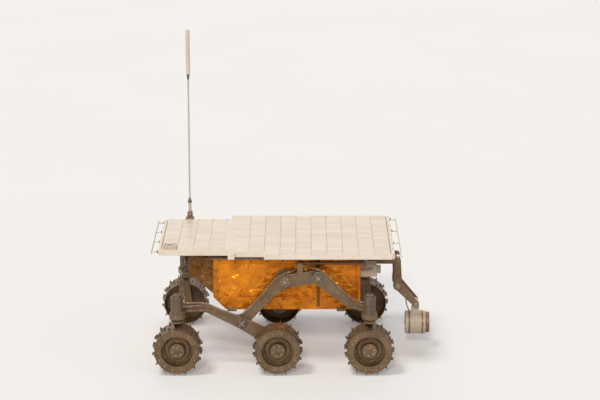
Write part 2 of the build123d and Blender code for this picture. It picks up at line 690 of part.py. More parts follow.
def antenna_mast():
    """The knuckle with its hinge pin, and the thin rod above it."""
    pivot = (MAST_X, MAST_PIVOT_Z)
    reach = MAST_EAR_Y + MAST_EAR_THICK
    mast = side_rod(pivot, (MAST_Y - MAST_KNUCKLE_HALF, MAST_Y + MAST_KNUCKLE_HALF), MAST_KNUCKLE_R)
    mast += side_rod(pivot, (MAST_Y - reach, MAST_Y + reach), MAST_PIN_R)
    foot_z = MAST_PIVOT_Z + MAST_FOOT_LONG
    mast += rod((MAST_X, MAST_Y, MAST_PIVOT_Z), (MAST_X, MAST_Y, foot_z), MAST_FOOT_R)
    tip_z = MAST_TOP_Z - MAST_TIP_LONG
    return mast + rod((MAST_X, MAST_Y, MAST_PIVOT_Z), (MAST_X, MAST_Y, tip_z), MAST_ROD_R)


def antenna_tip():
    tip = rod((MAST_X, MAST_Y, MAST_TOP_Z - MAST_TIP_LONG), (MAST_X, MAST_Y, MAST_TOP_Z), MAST_TIP_R)
    return chamfer(tip.edges().filter_by(GeomType.CIRCLE), MAST_TIP_CUT)


def hood_face():
    """The middle of the hood's tilted face. Its own +X looks forward and down."""
    return Pos(BOX_FRONT_X + FACE_OFF, 0, FACE_Z) * Rot(0, FACE_TILT, 0)


def camera_hood():
    """The roof, two cheeks and tilted face ahead of the box."""
    half = HOOD_WIDTH / 2
    inner = half - HOOD_THICK
    tip_x = BOX_FRONT_X + HOOD_LONG
    cheek = [
        (BOX_FRONT_X, HOOD_TOP_Z),
        (tip_x, HOOD_TOP_Z),
        (tip_x, HOOD_TOP_Z - HOOD_FRONT_TALL),
        (BOX_FRONT_X, BOX_BOTTOM_Z + BOX_FRONT_CUT + HOOD_LOW_OVER),
    ]
    hood = side_face(make_face(Polyline(*cheek, close=True)), (-half, half))
    inside = [
        (BOX_FRONT_X - OVERCUT, HOOD_TOP_Z - HOOD_THICK),
        (tip_x + OVERCUT, HOOD_TOP_Z - HOOD_THICK),
        (tip_x + OVERCUT, BOX_BOTTOM_Z),
        (BOX_FRONT_X - OVERCUT, BOX_BOTTOM_Z),
    ]
    hood -= side_face(make_face(Polyline(*inside, close=True)), (-inner, inner))
    return hood + hood_face() * box((-HOOD_THICK, 0), (-inner, inner), (-FACE_DOWN, FACE_UP))


def camera():
    """A camera body with its lens barrel, looking along +X from its rear face."""
    length = CAMERA_BODY[0]
    body = Pos(length / 2, 0, 0) * Box(*CAMERA_BODY)
    body = chamfer(body.edges().filter_by(Axis.X), CAMERA_EDGE_CUT)
    return body + rod((length, 0, 0), (length + CAMERA_LENS_LONG, 0, 0), CAMERA_LENS_R)


def front_camera():
    return hood_face() * Pos(0, CAMERA_Y, CAMERA_UP) * camera()


def rear_camera():
    return Pos(BOX_REAR_X, BOX_SIDE_Y - REAR_CAMERA_IN, REAR_CAMERA_Z) * Rot(0, 0, 180) * camera()


def laser_bar():
    """The bar of light-stripe projectors on the hood's tilted face."""
    long, wide, tall = LASER_BAR
    bar = Pos(long / 2, 0, 0) * Box(long, wide, tall)
    for number in range(LASER_COUNT):
        y = (number - (LASER_COUNT - 1) / 2) * LASER_PITCH
        bar += rod((long, y, 0), (long + LASER_LONG, y, 0), LASER_R)
    return hood_face() * Pos(0, 0, -LASER_DOWN) * bar


def sensor_mount():
    """Two bent cheeks from the box's rear face down to the arm's axle, tied by a cross bar."""
    x, z = SENSOR_PIVOT
    outer = SENSOR_CHEEK_OUT_Y
    mount = side_rod((x, SENSOR_BEAM_Z), (-outer, outer), SENSOR_AXLE_R)
    mount += side_rod((x, z), (-outer, outer), SENSOR_AXLE_R)
    cheek = side_plate(
        [
            (BOX_REAR_X - SENSOR_CHEEK_R, SENSOR_BEAM_Z, SENSOR_CHEEK_R),
            (x, SENSOR_BEAM_Z, SENSOR_CHEEK_R),
            (x, z, SENSOR_EYE_R),
        ],
        (SENSOR_CHEEK_Y, outer),
    )
    cheek += box(
        (BOX_REAR_X - SENSOR_FOOT_LONG, BOX_REAR_X),
        (SENSOR_CHEEK_Y, outer),
        (SENSOR_BEAM_Z - 2 * SENSOR_CHEEK_R, SENSOR_BEAM_Z + SENSOR_CHEEK_R),
    )
    for side in (LEFT, RIGHT):
        mount += on_side(side, cheek)
    return mount


def sensor_arm():
    """Two links on the motor tube, tied by the wrist pin."""
    link_span = (SENSOR_LINK_IN_Y, SENSOR_LINK_OUT_Y)
    link = side_plate([(*SENSOR_PIVOT, SENSOR_EYE_R), (*WRIST, WRIST_R)], link_span)
    arm = side_rod(SENSOR_PIVOT, (-SENSOR_LINK_IN_Y, SENSOR_LINK_IN_Y), SENSOR_TUBE_R)
    for side in (LEFT, RIGHT):
        arm += on_side(side, link)
    arm -= side_rod(SENSOR_PIVOT, (-SENSOR_CHEEK_Y, SENSOR_CHEEK_Y), SENSOR_AXLE_R + RUN_GAP)
    return arm + side_rod(WRIST, (-SENSOR_LINK_OUT_Y, SENSOR_LINK_OUT_Y), WRIST_PIN_R)


def sensor_head():
    """The sensor's drum, hung from the wrist pin by a lug."""
    drum = rod((HEAD_FRONT_X, 0, HEAD_Z), (HEAD_BACK_X, 0, HEAD_Z), HEAD_R)
    lug = side_plate([(*WRIST, WRIST_R), (WRIST[0], HEAD_Z, HEAD_LUG_R)], (-HEAD_LUG_HALF, HEAD_LUG_HALF))
    reach = HEAD_LUG_HALF + OVERCUT
    return drum + lug - side_rod(WRIST, (-reach, reach), WRIST_PIN_R + RUN_GAP)


def sensor_ring():
    """The open contact ring that touches the rock."""
    ring = rod((HEAD_BACK_X, 0, HEAD_Z), (RING_BACK_X, 0, HEAD_Z), RING_OUT_R)
    return ring - rod((HEAD_BACK_X, 0, HEAD_Z), (RING_BACK_X - OVERCUT, 0, HEAD_Z), RING_IN_R)


def nodes():
    """Every piece of the rover, by node name."""
    made = {
        "solar_panel": solar_panel(),
        "cell_rows": cell_rows(),
        "front_bumper": bumper(1),
        "rear_bumper": bumper(-1),
        "warm_box": warm_box(),
        "box_lid": box_lid(),
        "panel_posts": panel_posts(),
        "tie_down_lugs": tie_down_lugs(),
        "differential_bar": differential(),
        "antenna_base": antenna_base(),
        "antenna_mast": antenna_mast(),
        "antenna_tip": antenna_tip(),
        "camera_hood": camera_hood(),
        "camera_rear": rear_camera(),
        "laser_bar": laser_bar(),
        "dust_experiment": dust_experiment(),
        "sensor_mount": sensor_mount(),
        "sensor_arm": sensor_arm(),
        "sensor_head": sensor_head(),
        "sensor_ring": sensor_ring(),
    }
    # pieces that both sides have, in one node for the pair
    pairs = {
        "front_cameras": [front_camera()],
        "rocker_hubs": [rocker_hub()],
        "fold_pins": [pivot_pin(FOLD_PIVOT)],
        "bogie_pins": [pivot_pin(BOGIE_PIVOT)],
        "middle_motors": [Pos(MIDDLE_AXLE_X, 0, AXLE_Z) * drive_motor(OUTER_HIGH_Y)],
        "steering_motors": [steering_motor(axle_x) for axle_x in (FRONT_AXLE_X, REAR_AXLE_X)],
    }
    for name, pieces in pairs.items():
        made[name] = Compound([on_side(side, piece) for piece in pieces for side in (LEFT, RIGHT)])
    # pieces that both sides have, in a node of their own on each side
    singles = {
        "rocker_front": rocker_front_arm(),
        "rocker_rear": rocker_rear_arm(),
        "bogie": bogie(),
        "steer_bracket_front": steering_bracket(FRONT_AXLE_X),
        "steer_bracket_rear": steering_bracket(REAR_AXLE_X),
    }
    tread, disc = wheel_tread(), wheel_disc()
    for end, axle_x in (("front", FRONT_AXLE_X), ("middle", MIDDLE_AXLE_X), ("rear", REAR_AXLE_X)):
        place = Pos(axle_x, HALF_TRACK, AXLE_Z)
        singles[f"tread_{end}"] = place * tread
        singles[f"disc_{end}"] = place * disc
    for name, piece in singles.items():
        for side, word in ((LEFT, "left"), (RIGHT, "right")):
            made[f"{name}_{word}"] = on_side(side, piece)
    return made


os.makedirs("parts", exist_ok=True)
for name, piece in nodes().items():
    export_step(Pos(DECK_X, 0, 0) * piece, f"parts/{name}.step")
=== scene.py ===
"""A small six-wheeled planetary rover: its finishes, its fine pieces, the studio and the camera.

Places are in metres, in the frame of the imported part: +X is forward, +Y is the rover's left, +Z is up. They
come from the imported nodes' boxes and the joints' places, so the pieces follow the part. A piece's own
sizes, such as its radius and its profile, are in millimetres.
"""
import functools
import json
import math
import random

import bmesh
import bpy
from mathutils import Matrix, Vector, geometry, noise


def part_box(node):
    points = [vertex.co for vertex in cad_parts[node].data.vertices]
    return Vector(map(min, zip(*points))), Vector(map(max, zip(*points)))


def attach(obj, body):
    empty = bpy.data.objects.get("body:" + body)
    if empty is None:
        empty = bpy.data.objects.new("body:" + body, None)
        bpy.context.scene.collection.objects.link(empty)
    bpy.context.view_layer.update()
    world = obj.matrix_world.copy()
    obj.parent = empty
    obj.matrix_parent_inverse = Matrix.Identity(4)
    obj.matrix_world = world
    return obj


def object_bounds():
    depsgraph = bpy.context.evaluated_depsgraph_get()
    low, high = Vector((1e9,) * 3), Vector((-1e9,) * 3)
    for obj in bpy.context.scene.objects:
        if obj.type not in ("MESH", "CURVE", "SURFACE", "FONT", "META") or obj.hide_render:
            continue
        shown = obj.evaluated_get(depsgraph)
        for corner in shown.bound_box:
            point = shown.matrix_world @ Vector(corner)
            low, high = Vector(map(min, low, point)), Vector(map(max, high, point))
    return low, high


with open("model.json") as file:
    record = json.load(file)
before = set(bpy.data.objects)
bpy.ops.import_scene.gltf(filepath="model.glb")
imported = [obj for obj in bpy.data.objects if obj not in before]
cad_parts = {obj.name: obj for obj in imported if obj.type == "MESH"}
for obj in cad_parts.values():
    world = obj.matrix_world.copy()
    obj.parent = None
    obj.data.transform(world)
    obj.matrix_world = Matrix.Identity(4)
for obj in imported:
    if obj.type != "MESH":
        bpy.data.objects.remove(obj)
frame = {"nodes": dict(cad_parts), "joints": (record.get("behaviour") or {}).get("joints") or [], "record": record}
cad_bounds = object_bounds()

MM = 0.001
UP = Vector((0, 0, 1))
SIDES = {"left": 1, "right": -1}    # the sign of Y
ENDS = ("front", "middle", "rear")
JOINT_AT = {joint["name"]: Vector(joint["pos_m"]) for joint in frame["joints"]}

# Camera
VIEW_ELEVATION = 15.0     # degrees above the horizon, from the rover's left side
VIEW_DISTANCE = 5.5
VIEW_HEIGHT = 1.06        # metres that the picture's height takes in
VIEW_SHIFT = -0.02        # the place along X in the picture's middle
ASPECT = 600 / 400
SENSOR_WIDTH = 36.0

# Colours, linear
DUST = (0.43, 0.262, 0.140)
WALL = (0.86, 0.85, 0.84)


# Materials


class Shade:
    """A material's node tree, with short ways to add to it."""

    def __init__(self, name):
        self.material = bpy.data.materials.new(name)
        self.material.use_nodes = True
        self.tree = self.material.node_tree
        self.shader = self.tree.nodes["Principled BSDF"]
        self.coords = self.add("ShaderNodeTexCoord").outputs["Object"]

    def add(self, kind, inputs=None, **settings):
        made = self.tree.nodes.new(kind)
        for key, value in settings.items():
            setattr(made, key, value)
        for socket, value in (inputs or {}).items():
            self.put(made.inputs[socket], value)
        return made

    def put(self, socket, value):
        if isinstance(value, bpy.types.NodeSocket):
            self.tree.links.new(value, socket)
        elif socket.type == "RGBA" and len(value) == 3:
            socket.default_value = (*value, 1)
        else:
            socket.default_value = value

    def set(self, **values):
        """Sets the shader's own sockets, by their names with _ for a space."""
        for name, value in values.items():
            self.put(self.shader.inputs[name.replace("_", " ")], value)

    def noise(self, scale, detail=3.0, rough=0.55, stretch=None):
        coords = self.coords
        if stretch:
            coords = self.add("ShaderNodeMapping", {"Vector": coords, "Scale": stretch}).outputs[0]
        inputs = {"Vector": coords, "Scale": scale, "Detail": detail, "Roughness": rough}
        return self.add("ShaderNodeTexNoise", inputs).outputs["Fac"]

    def ramp(self, value, low, high, out_low=0.0, out_high=1.0):
        inputs = {"Value": value, "From Min": low, "From Max": high, "To Min": out_low, "To Max": out_high}
        return self.add("ShaderNodeMapRange", inputs).outputs["Result"]

    def math(self, operation, a, b):
        return self.add("ShaderNodeMath", {0: a, 1: b}, operation=operation).outputs[0]

    def vector(self, operation, a, b):
        second = "Scale" if operation == "SCALE" else 1
        return self.add("ShaderNodeVectorMath", {0: a, second: b}, operation=operation).outputs["Vector"]

    def mix(self, factor, a, b):
        return self.add("ShaderNodeMix", {0: factor, 6: a, 7: b}, data_type="RGBA").outputs[2]

    def facing(self):
        """The surface's own normal."""
        return self.add("ShaderNodeNewGeometry").outputs["Normal"]

    def soft_normal(self, radius):
        """The surface's normal, rounded over its edges."""
        return self.add("ShaderNodeBevel", {"Radius": radius}, samples=6).outputs["Normal"]

    def edges(self, normal):
        """1 on sharp edges and 0 on open faces."""
        dot = self.add("ShaderNodeVectorMath", {0: normal, 1: self.facing()}, operation="DOT_PRODUCT")
        return self.ramp(dot.outputs["Value"], 0.985, 0.90)

    def bump(self, height, depth, normal):
        inputs = {"Height": height, "Distance": depth, "Strength": 1.0, "Normal": normal}
        return self.add("ShaderNodeBump", inputs).outputs["Normal"]

    def settle(self, colour, amount, from_top=True):
        """Lays dust over a colour, most of it where the surface looks up, in patches."""
        patches = self.ramp(self.noise(22, 5, 0.62), 0.35, 0.72)
        mask = self.math("MULTIPLY", patches, amount)
        if from_top:
            up = self.add("ShaderNodeSeparateXYZ", {0: self.facing()}).outputs["Z"]
            lying = self.ramp(up, 0.25, 0.95, 0.0, amount)
            lying = self.math("MULTIPLY", lying, self.ramp(self.noise(60, 4), 0.25, 0.6, 0.6, 1.0))
            mask = self.math("MAXIMUM", self.math("MULTIPLY", mask, 0.55), lying)
        return self.mix(mask, colour, DUST), mask


# A finish is two tones of one colour, its metal share, lowest and highest roughness, dust, and then the
# tone of worn edges, their share, and the depth of the grain in millimetres.
FINISHES = {
    "panel_white": (
        (0.92, 0.83, 0.72), (0.84, 0.73, 0.60), 0.0, 0.42, 0.62, 0.16, (0.95, 0.90, 0.83), 0.6, 0.05,
    ),
    "bare_metal": (
        (0.225, 0.152, 0.086), (0.150, 0.096, 0.052), 0.45, 0.34, 0.60, 0.32, (0.55, 0.43, 0.29), 0.8, 0.10,
    ),
    # Bare metal made darker and browner: painted shade for the wheels' discs.
    "disc_metal_shaded": (
        (0.192, 0.126, 0.062), (0.122, 0.077, 0.036), 0.45, 0.34, 0.60, 0.26, (0.52, 0.40, 0.25), 0.8, 0.10,
    ),
    "wheel_steel": (
        (0.165, 0.106, 0.052), (0.096, 0.058, 0.027), 0.5, 0.32, 0.60, 0.30, (0.46, 0.35, 0.22), 0.8, 0.12,
    ),
    "motor_metal": (
        (0.155, 0.118, 0.086), (0.098, 0.074, 0.054), 0.6, 0.28, 0.50, 0.34, (0.42, 0.35, 0.27), 0.7, 0.06,
    ),
    "black_metal": (
        (0.036, 0.030, 0.026), (0.020, 0.017, 0.015), 0.0, 0.40, 0.68, 0.28, (0.17, 0.14, 0.11), 0.6, 0.08,
    ),
    "antenna_white": (
        (0.80, 0.74, 0.66), (0.70, 0.62, 0.52), 0.0, 0.45, 0.60, 0.12, (0.88, 0.84, 0.78), 0.3, 0.03,
    ),
    # Pale, in part a painted highlight: it stands for a glint on the rear camera.
    "white_metal": (
        (0.66, 0.57, 0.46), (0.54, 0.44, 0.33), 0.0, 0.40, 0.62, 0.28, (0.84, 0.77, 0.67), 0.7, 0.08,
    ),
    "screw_steel": (
        (0.44, 0.37, 0.29), (0.30, 0.24, 0.18), 0.85, 0.26, 0.46, 0.30, (0.72, 0.64, 0.54), 0.8, 0.04,
    ),
    "mast_metal": (
        (0.62, 0.57, 0.50), (0.51, 0.455, 0.385), 0.2, 0.34, 0.58, 0.20, (0.76, 0.70, 0.62), 0.5, 0.04,
    ),
    "ribbon_metal": (
        (0.42, 0.36, 0.29), (0.33, 0.27, 0.20), 0.7, 0.30, 0.50, 0.50, (0.62, 0.55, 0.46), 0.5, 0.03,
    ),
    "wire_tan": (
        (0.34, 0.245, 0.155), (0.25, 0.170, 0.102), 0.0, 0.50, 0.72, 0.28, (0.48, 0.37, 0.26), 0.3, 0.06,
    ),
    "tie_white": (
        (0.54, 0.45, 0.35), (0.43, 0.34, 0.25), 0.0, 0.45, 0.65, 0.25, (0.66, 0.58, 0.48), 0.3, 0.04,
    ),
}
EDGE_RADIUS = 0.8


def finish_material(name, turning):
    """A worn and dusty finish from the table. Dust on a turning piece lies all round it."""
    colour, second, metal, smooth, rough, dust, edge_tone, edge, grain = FINISHES[name]
    shade = Shade(name + ("_turning" if turning else ""))
    normal = shade.soft_normal(EDGE_RADIUS * MM)
    tone = shade.mix(shade.ramp(shade.noise(14, 6, 0.6), 0.36, 0.66), colour, second)
    scratches = shade.ramp(shade.noise(90, 4, 0.7, (1.0, 6.0, 1.0)), 0.30, 0.44, 1.0, 0.0)
    tone = shade.mix(shade.math("MULTIPLY", scratches, 0.35), tone, edge_tone)
    tone, mask = shade.settle(tone, dust, not turning)
    chips = shade.ramp(shade.noise(120, 4), 0.35, 0.6, 0.25, edge)
    tone = shade.mix(shade.math("MULTIPLY", shade.edges(normal), chips), tone, edge_tone)
    roughness = shade.ramp(shade.noise(48, 4), 0.3, 0.7, smooth, rough)
    roughness = shade.math("MAXIMUM", roughness, shade.math("MULTIPLY", mask, 0.85))
    grained = shade.math("ADD", shade.noise(420, 3, 0.6), shade.math("MULTIPLY", shade.noise(55, 3), 2.0))
    normal = shade.bump(grained, grain * MM, normal)
    shade.set(Base_Color=tone, Roughness=roughness, Metallic=metal, Normal=normal)
    return shade.material


# Solar cells, and the length of the panel's nose
CELL_LONG, CELL_WIDE, CELL_GAP = 40.0, 20.0, 0.7
PITCH_X, PITCH_Y = (CELL_LONG + CELL_GAP) * MM, (CELL_WIDE + CELL_GAP) * MM
NOSE_LONG = 183.0


def cell_grid():
    """The cells' places: the x and y of each one's front left corner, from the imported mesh."""
    data = frame["nodes"]["cell_rows"].data
    corners = {}
    for polygon in data.polygons:
        if polygon.normal.z > 0.9:
            points = [data.vertices[index].co for index in polygon.vertices]
            x, y = max(point.x for point in points), max(point.y for point in points)
            corners[(round(x / MM), round(y / MM))] = (x, y)
    return sorted(corners.values())


def cell_material():
    """Cover glass over dark cells, under a pale coat that is dust and a painted sheen of bright sky. Each cell has
    its own tone.
    """
    shade = Shade("cells")
    parts = shade.add("ShaderNodeSeparateXYZ", {0: shade.coords}).outputs

    def cell_number(along, first, pitch):
        """A whole number that is the same all over a cell, counted from a gap's middle."""
        return shade.math("FLOOR", shade.math("DIVIDE", shade.math("SUBTRACT", along, first), pitch), 0.0)

    xs, ys = zip(*cell_grid())
    body_edge, nose_edge, side_edge = min(xs) % PITCH_X, max(xs) % PITCH_X, max(ys) % PITCH_Y
    half_gap = CELL_GAP / 2 * MM
    on_nose = shade.math("GREATER_THAN", parts["X"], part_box("solar_panel")[1].x - NOSE_LONG * MM)
    row_edge = shade.ramp(on_nose, 0.0, 1.0, body_edge, nose_edge)
    row = cell_number(parts["X"], shade.math("ADD", row_edge, half_gap), PITCH_X)
    column = cell_number(parts["Y"], side_edge + half_gap, PITCH_Y)
    cell = shade.add("ShaderNodeCombineXYZ", {"X": row, "Y": column, "Z": on_nose}).outputs[0]
    own = shade.add("ShaderNodeTexWhiteNoise", {"Vector": cell}).outputs["Value"]
    glass = shade.mix(own, (0.060, 0.062, 0.085), (0.095, 0.088, 0.105))
    # The pale tone is dust and a painted reflection of bright sky on the glass; it covers most of each cell.
    pale = shade.mix(own, (0.755, 0.642, 0.500), (0.845, 0.728, 0.580))
    patches = shade.ramp(shade.noise(9, 6, 0.62), 0.30, 0.70, 0.90, 0.985)
    specks = shade.ramp(shade.noise(260, 4, 0.7), 0.30, 0.50, 0.88, 1.0)
    dust_and_sheen = shade.math("MULTIPLY", patches, specks)
    shade.set(
        Base_Color=shade.mix(dust_and_sheen, glass, pale),
        Roughness=shade.ramp(dust_and_sheen, 0.75, 1.0, 0.26, 0.50),
        Specular_IOR_Level=0.5,
        Coat_Weight=0.25,
        Coat_Roughness=0.18,
        Normal=shade.bump(shade.noise(300, 4), 0.03 * MM, shade.soft_normal(0.3 * MM)),
    )
    return shade.material


# Flat facets of a crumpled film, large to small: how many to a metre, how far they tilt, their stretch, and
# whether the creases between them get painted shade
FACETS = [
    (34, 0.24, (1.0, 1.0, 0.7), True),
    (78, 0.26, (0.8, 1.0, 1.0), True),
    (160, 0.14, (1.0, 0.8, 1.0), False),
]

# The bright and the deep tone of each film
FILMS = {
    "gold_skin": ((0.82, 0.270, 0.014), (0.50, 0.140, 0.008)),
    "blanket": ((0.90, 0.305, 0.014), (0.62, 0.175, 0.009)),
    "seam_film": ((0.27, 0.095, 0.016), (0.17, 0.056, 0.010)),
    # The hood's film is the amber film made dark and brown: painted shade under the panel's nose.
    "hood_skin": ((0.27, 0.125, 0.036), (0.165, 0.070, 0.020)),
}
FILM_METAL = 0.55


def film_material(name):
    """Film over insulation: a glossy metal film, crumpled into small flat facets."""
    bright, deep = FILMS[name]
    shade = Shade(name)
    warp = {"Vector": shade.coords, "Scale": 30.0, "Detail": 2.0}
    warp = shade.add("ShaderNodeTexNoise", warp).outputs["Color"]
    warped = shade.vector("ADD", shade.coords, shade.vector("SCALE", warp, 0.016))
    normal = shade.soft_normal(0.6 * MM)
    creases = []
    for number, (scale, tilt, stretch, shaded_creases) in enumerate(FACETS):
        turned = {"Vector": warped, "Rotation": (0.4 + number, 0.7, 0.3 * number), "Scale": stretch}
        facets = {"Vector": shade.add("ShaderNodeMapping", turned).outputs[0], "Scale": scale}
        own = shade.add("ShaderNodeTexVoronoi", facets).outputs["Color"]
        lean = shade.vector("SCALE", shade.vector("SUBTRACT", own, (0.5, 0.5, 0.5)), tilt)
        normal = shade.vector("ADD", normal, lean)
        if shaded_creases:
            edges = shade.add("ShaderNodeTexVoronoi", facets, feature="DISTANCE_TO_EDGE")
            creases.append(shade.ramp(edges.outputs["Distance"], 0.0, 0.05, 1.0, 0.0))
    normal = shade.add("ShaderNodeVectorMath", {0: normal}, operation="NORMALIZE").outputs[0]
    tone = shade.mix(shade.ramp(shade.noise(15, 5, 0.6), 0.36, 0.68), bright, deep)
    # Painted shade: the tone darkens towards the deep tone along the facets' creases.
    tone = shade.mix(shade.math("MULTIPLY", shade.math("MAXIMUM", *creases), 0.30), tone, deep)
    tone = shade.mix(shade.ramp(shade.noise(70, 5, 0.65), 0.56, 0.76, 0.0, 0.16), tone, DUST)
    tone, _ = shade.settle(tone, 0.16)
    shade.set(
        Base_Color=tone,
        Roughness=shade.ramp(shade.noise(60, 3), 0.3, 0.7, 0.24, 0.42),
        Metallic=FILM_METAL,
        Specular_Tint=(1.0, 0.62, 0.28),
        Normal=shade.bump(shade.noise(55, 4, 0.6), 1.6 * MM, normal),
    )
    return shade.material


def glass_material():
    """A coated lens: dark, glossy, with a faint tint that changes across it."""
    shade = Shade("lens_glass")
    tint = shade.ramp(shade.noise(160, 2), 0.35, 0.65)
    tint = shade.mix(tint, (0.010, 0.012, 0.020), (0.030, 0.018, 0.034))
    haze = shade.ramp(shade.noise(500, 4), 0.55, 0.75, 0.04, 0.30)
    shade.set(Base_Color=tint, Roughness=haze, Coat_Weight=1.0, Coat_Roughness=0.03, Specular_IOR_Level=0.7)
    return shade.material


@functools.cache
def material(name, turning):
    """The material of a finish, made once."""
    if name in FILMS:
        return film_material(name)
    if name == "cells":
        return cell_material()
    if name == "lens_glass":
        return glass_material()
    return finish_material(name, turning)


# Nodes whose finish isn't the one their slot is named after
OWN_FINISH = {"antenna_mast": "mast_metal"}
# The discs take a darker copy of the bare metal, as painted shade.
OWN_FINISH.update({f"disc_{end}_{side}": "disc_metal_shaded" for end in ENDS for side in SIDES})


def dress_nodes():
    """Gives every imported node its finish."""
    slots = {row["node"]: row["material_slot"] for row in frame["record"]["subparts"]}
    for name, obj in frame["nodes"].items():
        turning = name.startswith(("tread_", "disc_"))
        obj.data.materials.clear()
        obj.data.materials.append(material(OWN_FINISH.get(name, slots[name]), turning))


# Making pieces


def place(origin, axis):
    """A place whose own Z looks along an axis."""
    return Matrix.Translation(origin) @ Vector(axis).to_track_quat("Z", "Y").to_matrix().to_4x4()


def moved(x, y, z):
    """A step of so many millimetres."""
    return Matrix.Translation((x * MM, y * MM, z * MM))


def spread(start, end, count):
    """Evenly spaced numbers from one to another."""
    return [start + (end - start) * step / (count - 1) for step in range(count)]


def circle_places(centre, axis, radius, count, first=0.0):
    """Places round a circle, each looking along the circle's axis, from a first angle in degrees."""
    middle = place(centre, axis)
    for number in range(count):
        angle = math.radians(first) + math.tau * number / count
        yield middle @ moved(radius * math.cos(angle), radius * math.sin(angle), 0)


def middle_of(node):
    low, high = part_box(node)
    return (low + high) / 2


class Piece:
    """Collects the faces of one piece of the object."""

    def __init__(self, name, finish, body="root", slot=None, turning=False):
        self.name, self.finish, self.body = name, finish, body
        self.slot, self.turning = slot or finish, turning
        self.mesh = bmesh.new()

    def add(self, points, faces):
        made = [self.mesh.verts.new(point) for point in points]
        for face in faces:
            self.mesh.faces.new([made[index] for index in face])

    def lathe(self, at, profile, sides=20):
        """Turns a profile of radius and height about a place's Z. One that ends at radius 0 is closed below
        as a cap, and any other is closed as a ring."""
        start = profile[0]
        profile = [(0, start[1]), *profile] if profile[-1][0] == 0 else [*profile, start]
        rings, points, faces = [], [], []
        for radius, height in profile:
            count = sides if radius > 0 else 1
            rings.append(range(len(points), len(points) + count))
            for step in range(count):
                angle = math.tau * step / sides
                point = Vector((radius * math.cos(angle), radius * math.sin(angle), height))
                points.append(at @ (point * MM))
        for low, high in zip(rings, rings[1:]):
            for step in range(sides):
                corners = []
                for ring, index in ((low, step), (low, step + 1), (high, step + 1), (high, step)):
                    corner = ring[index % sides] if len(ring) > 1 else ring[0]
                    if corner not in corners:
                        corners.append(corner)
                faces.append(corners)
        self.add(points, faces)

    def block(self, at, size, heights, taper=0.0):
        """A block about a place's Z: its size along X and Y, its lowest and highest height, and how far its
        top is drawn in."""
        points = []
        for height, inset in zip(heights, (0.0, taper)):
            x, y = size[0] / 2 - inset, size[1] / 2 - inset
            corners = ((-x, -y, height), (x, -y, height), (x, y, height), (-x, y, height))
            points += [at @ (Vector(corner) * MM) for corner in corners]
        faces = [(3, 2, 1, 0), (4, 5, 6, 7), (0, 1, 5, 4), (1, 2, 6, 5), (2, 3, 7, 6), (3, 0, 4, 7)]
        self.add(points, faces)

    def screw(self, at, radius, height):
        """A cap screw: a washer, a chamfered head and its socket."""
        self.lathe(at, [(radius * 1.45, 0), (radius * 1.45, height * 0.2), (radius, height * 0.25)])
        rim, floor = radius * 0.5, height * 0.45
        head = [(radius, height * 0.2), (radius, height * 0.85), (radius * 0.86, height), (rim, height)]
        self.lathe(at, head + [(rim, floor), (0, floor)], 12)

    def rivet(self, at, radius, height):
        """A domed head."""
        angles = [math.radians(angle) for angle in (0, 25, 50, 70)]
        dome = [(radius * math.cos(angle), height * math.sin(angle)) for angle in angles]
        self.lathe(at, dome + [(0, height)], 10)

    def tube(self, points, radius, sides=8):
        """A round tube along a chain of points, with closed ends."""
        points = [Vector(point) for point in points]
        turns = [math.tau * step / sides for step in range(sides)]
        loops = []
        side = None
        for index, point in enumerate(points):
            ahead = points[min(index + 1, len(points) - 1)] - points[max(index - 1, 0)]
            ahead.normalize()
            side = ahead.orthogonal() if side is None else side - ahead * side.dot(ahead)
            side.normalize()
            other = ahead.cross(side)
            rim = [point + radius * MM * (side * math.cos(turn) + other * math.sin(turn)) for turn in turns]
            loops.append([self.mesh.verts.new(corner) for corner in rim])
        for low, high in zip(loops, loops[1:]):
            for k in range(sides):
                self.mesh.faces.new((low[k], low[(k + 1) % sides], high[(k + 1) % sides], high[k]))
        self.mesh.faces.new(loops[0][::-1])
        self.mesh.faces.new(loops[-1])

    def done(self, crease=35):
        """Makes the object, which rides on its body. Edges over the crease angle stay sharp."""
        bmesh.ops.remove_doubles(self.mesh, verts=self.mesh.verts, dist=0.001 * MM)
        bmesh.ops.recalc_face_normals(self.mesh, faces=self.mesh.faces)
        data = bpy.data.meshes.new(self.name)
        self.mesh.to_mesh(data)
        self.mesh.free()
        data.materials.append(material(self.finish, self.turning))
        data.shade_smooth()
        obj = bpy.data.objects.new(self.name, data)
        bpy.context.scene.collection.objects.link(obj)
        data.set_sharp_from_angle(angle=math.radians(crease))
        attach(obj, self.body)


def screws_piece(name, body="root", turning=False):
    """A piece of steel screws or rivets."""
    return Piece(name, "screw_steel", body, "bare_metal", turning)


def smooth_path(corners, step=0.006):
    """Points along a chain of corners whose turns are rounded."""
    corners = [Vector(corner) for corner in corners]
    points = [corners[0]]
    for before, here, after in zip(corners, corners[1:], corners[2:]):
        into, out = before - here, after - here
        reach = min(into.length, out.length) * 0.45
        start, end = here + into.normalized() * reach, here + out.normalized() * reach
        count = max(3, int((end - start).length / step))
        for k in range(count + 1):
            t = k / count
            points.append(start * (1 - t) ** 2 + here * 2 * t * (1 - t) + end * t ** 2)
    points.append(corners[-1])
    return points


# Fine pieces: wheels and suspension

# Wheel's outer side, from its middle plane: the disc, the hoop's lip and the hub cap, and the cap's radius
WEB_T, LIP_T, HUB_T, HUB_R = 10.5, 33.8, 26.0, 19.0
# Rings pressed into the disc: radius, half width and height. They start below its face, at SUNK.
PRESSED_RINGS = [(33.0, 2.2, 1.6), (HUB_R + 2.6, 2.4, 1.8)]
SUNK = -0.2
HUB_DOME = [(9.0, SUNK), (9.0, 0.8), (8.0, 1.4), (3.5, 1.7), (0, 1.7)]
# Rivets: how far out they sit, their circle's radius, how many, and one's radius and height
WHEEL_RIVETS = [(WEB_T, 38.5, 12, 1.5, 1.0), (LIP_T, 50.0, 14, 1.9, 1.1)]
HUB_SCREWS, HUB_SCREW_RING = 6, 12.5


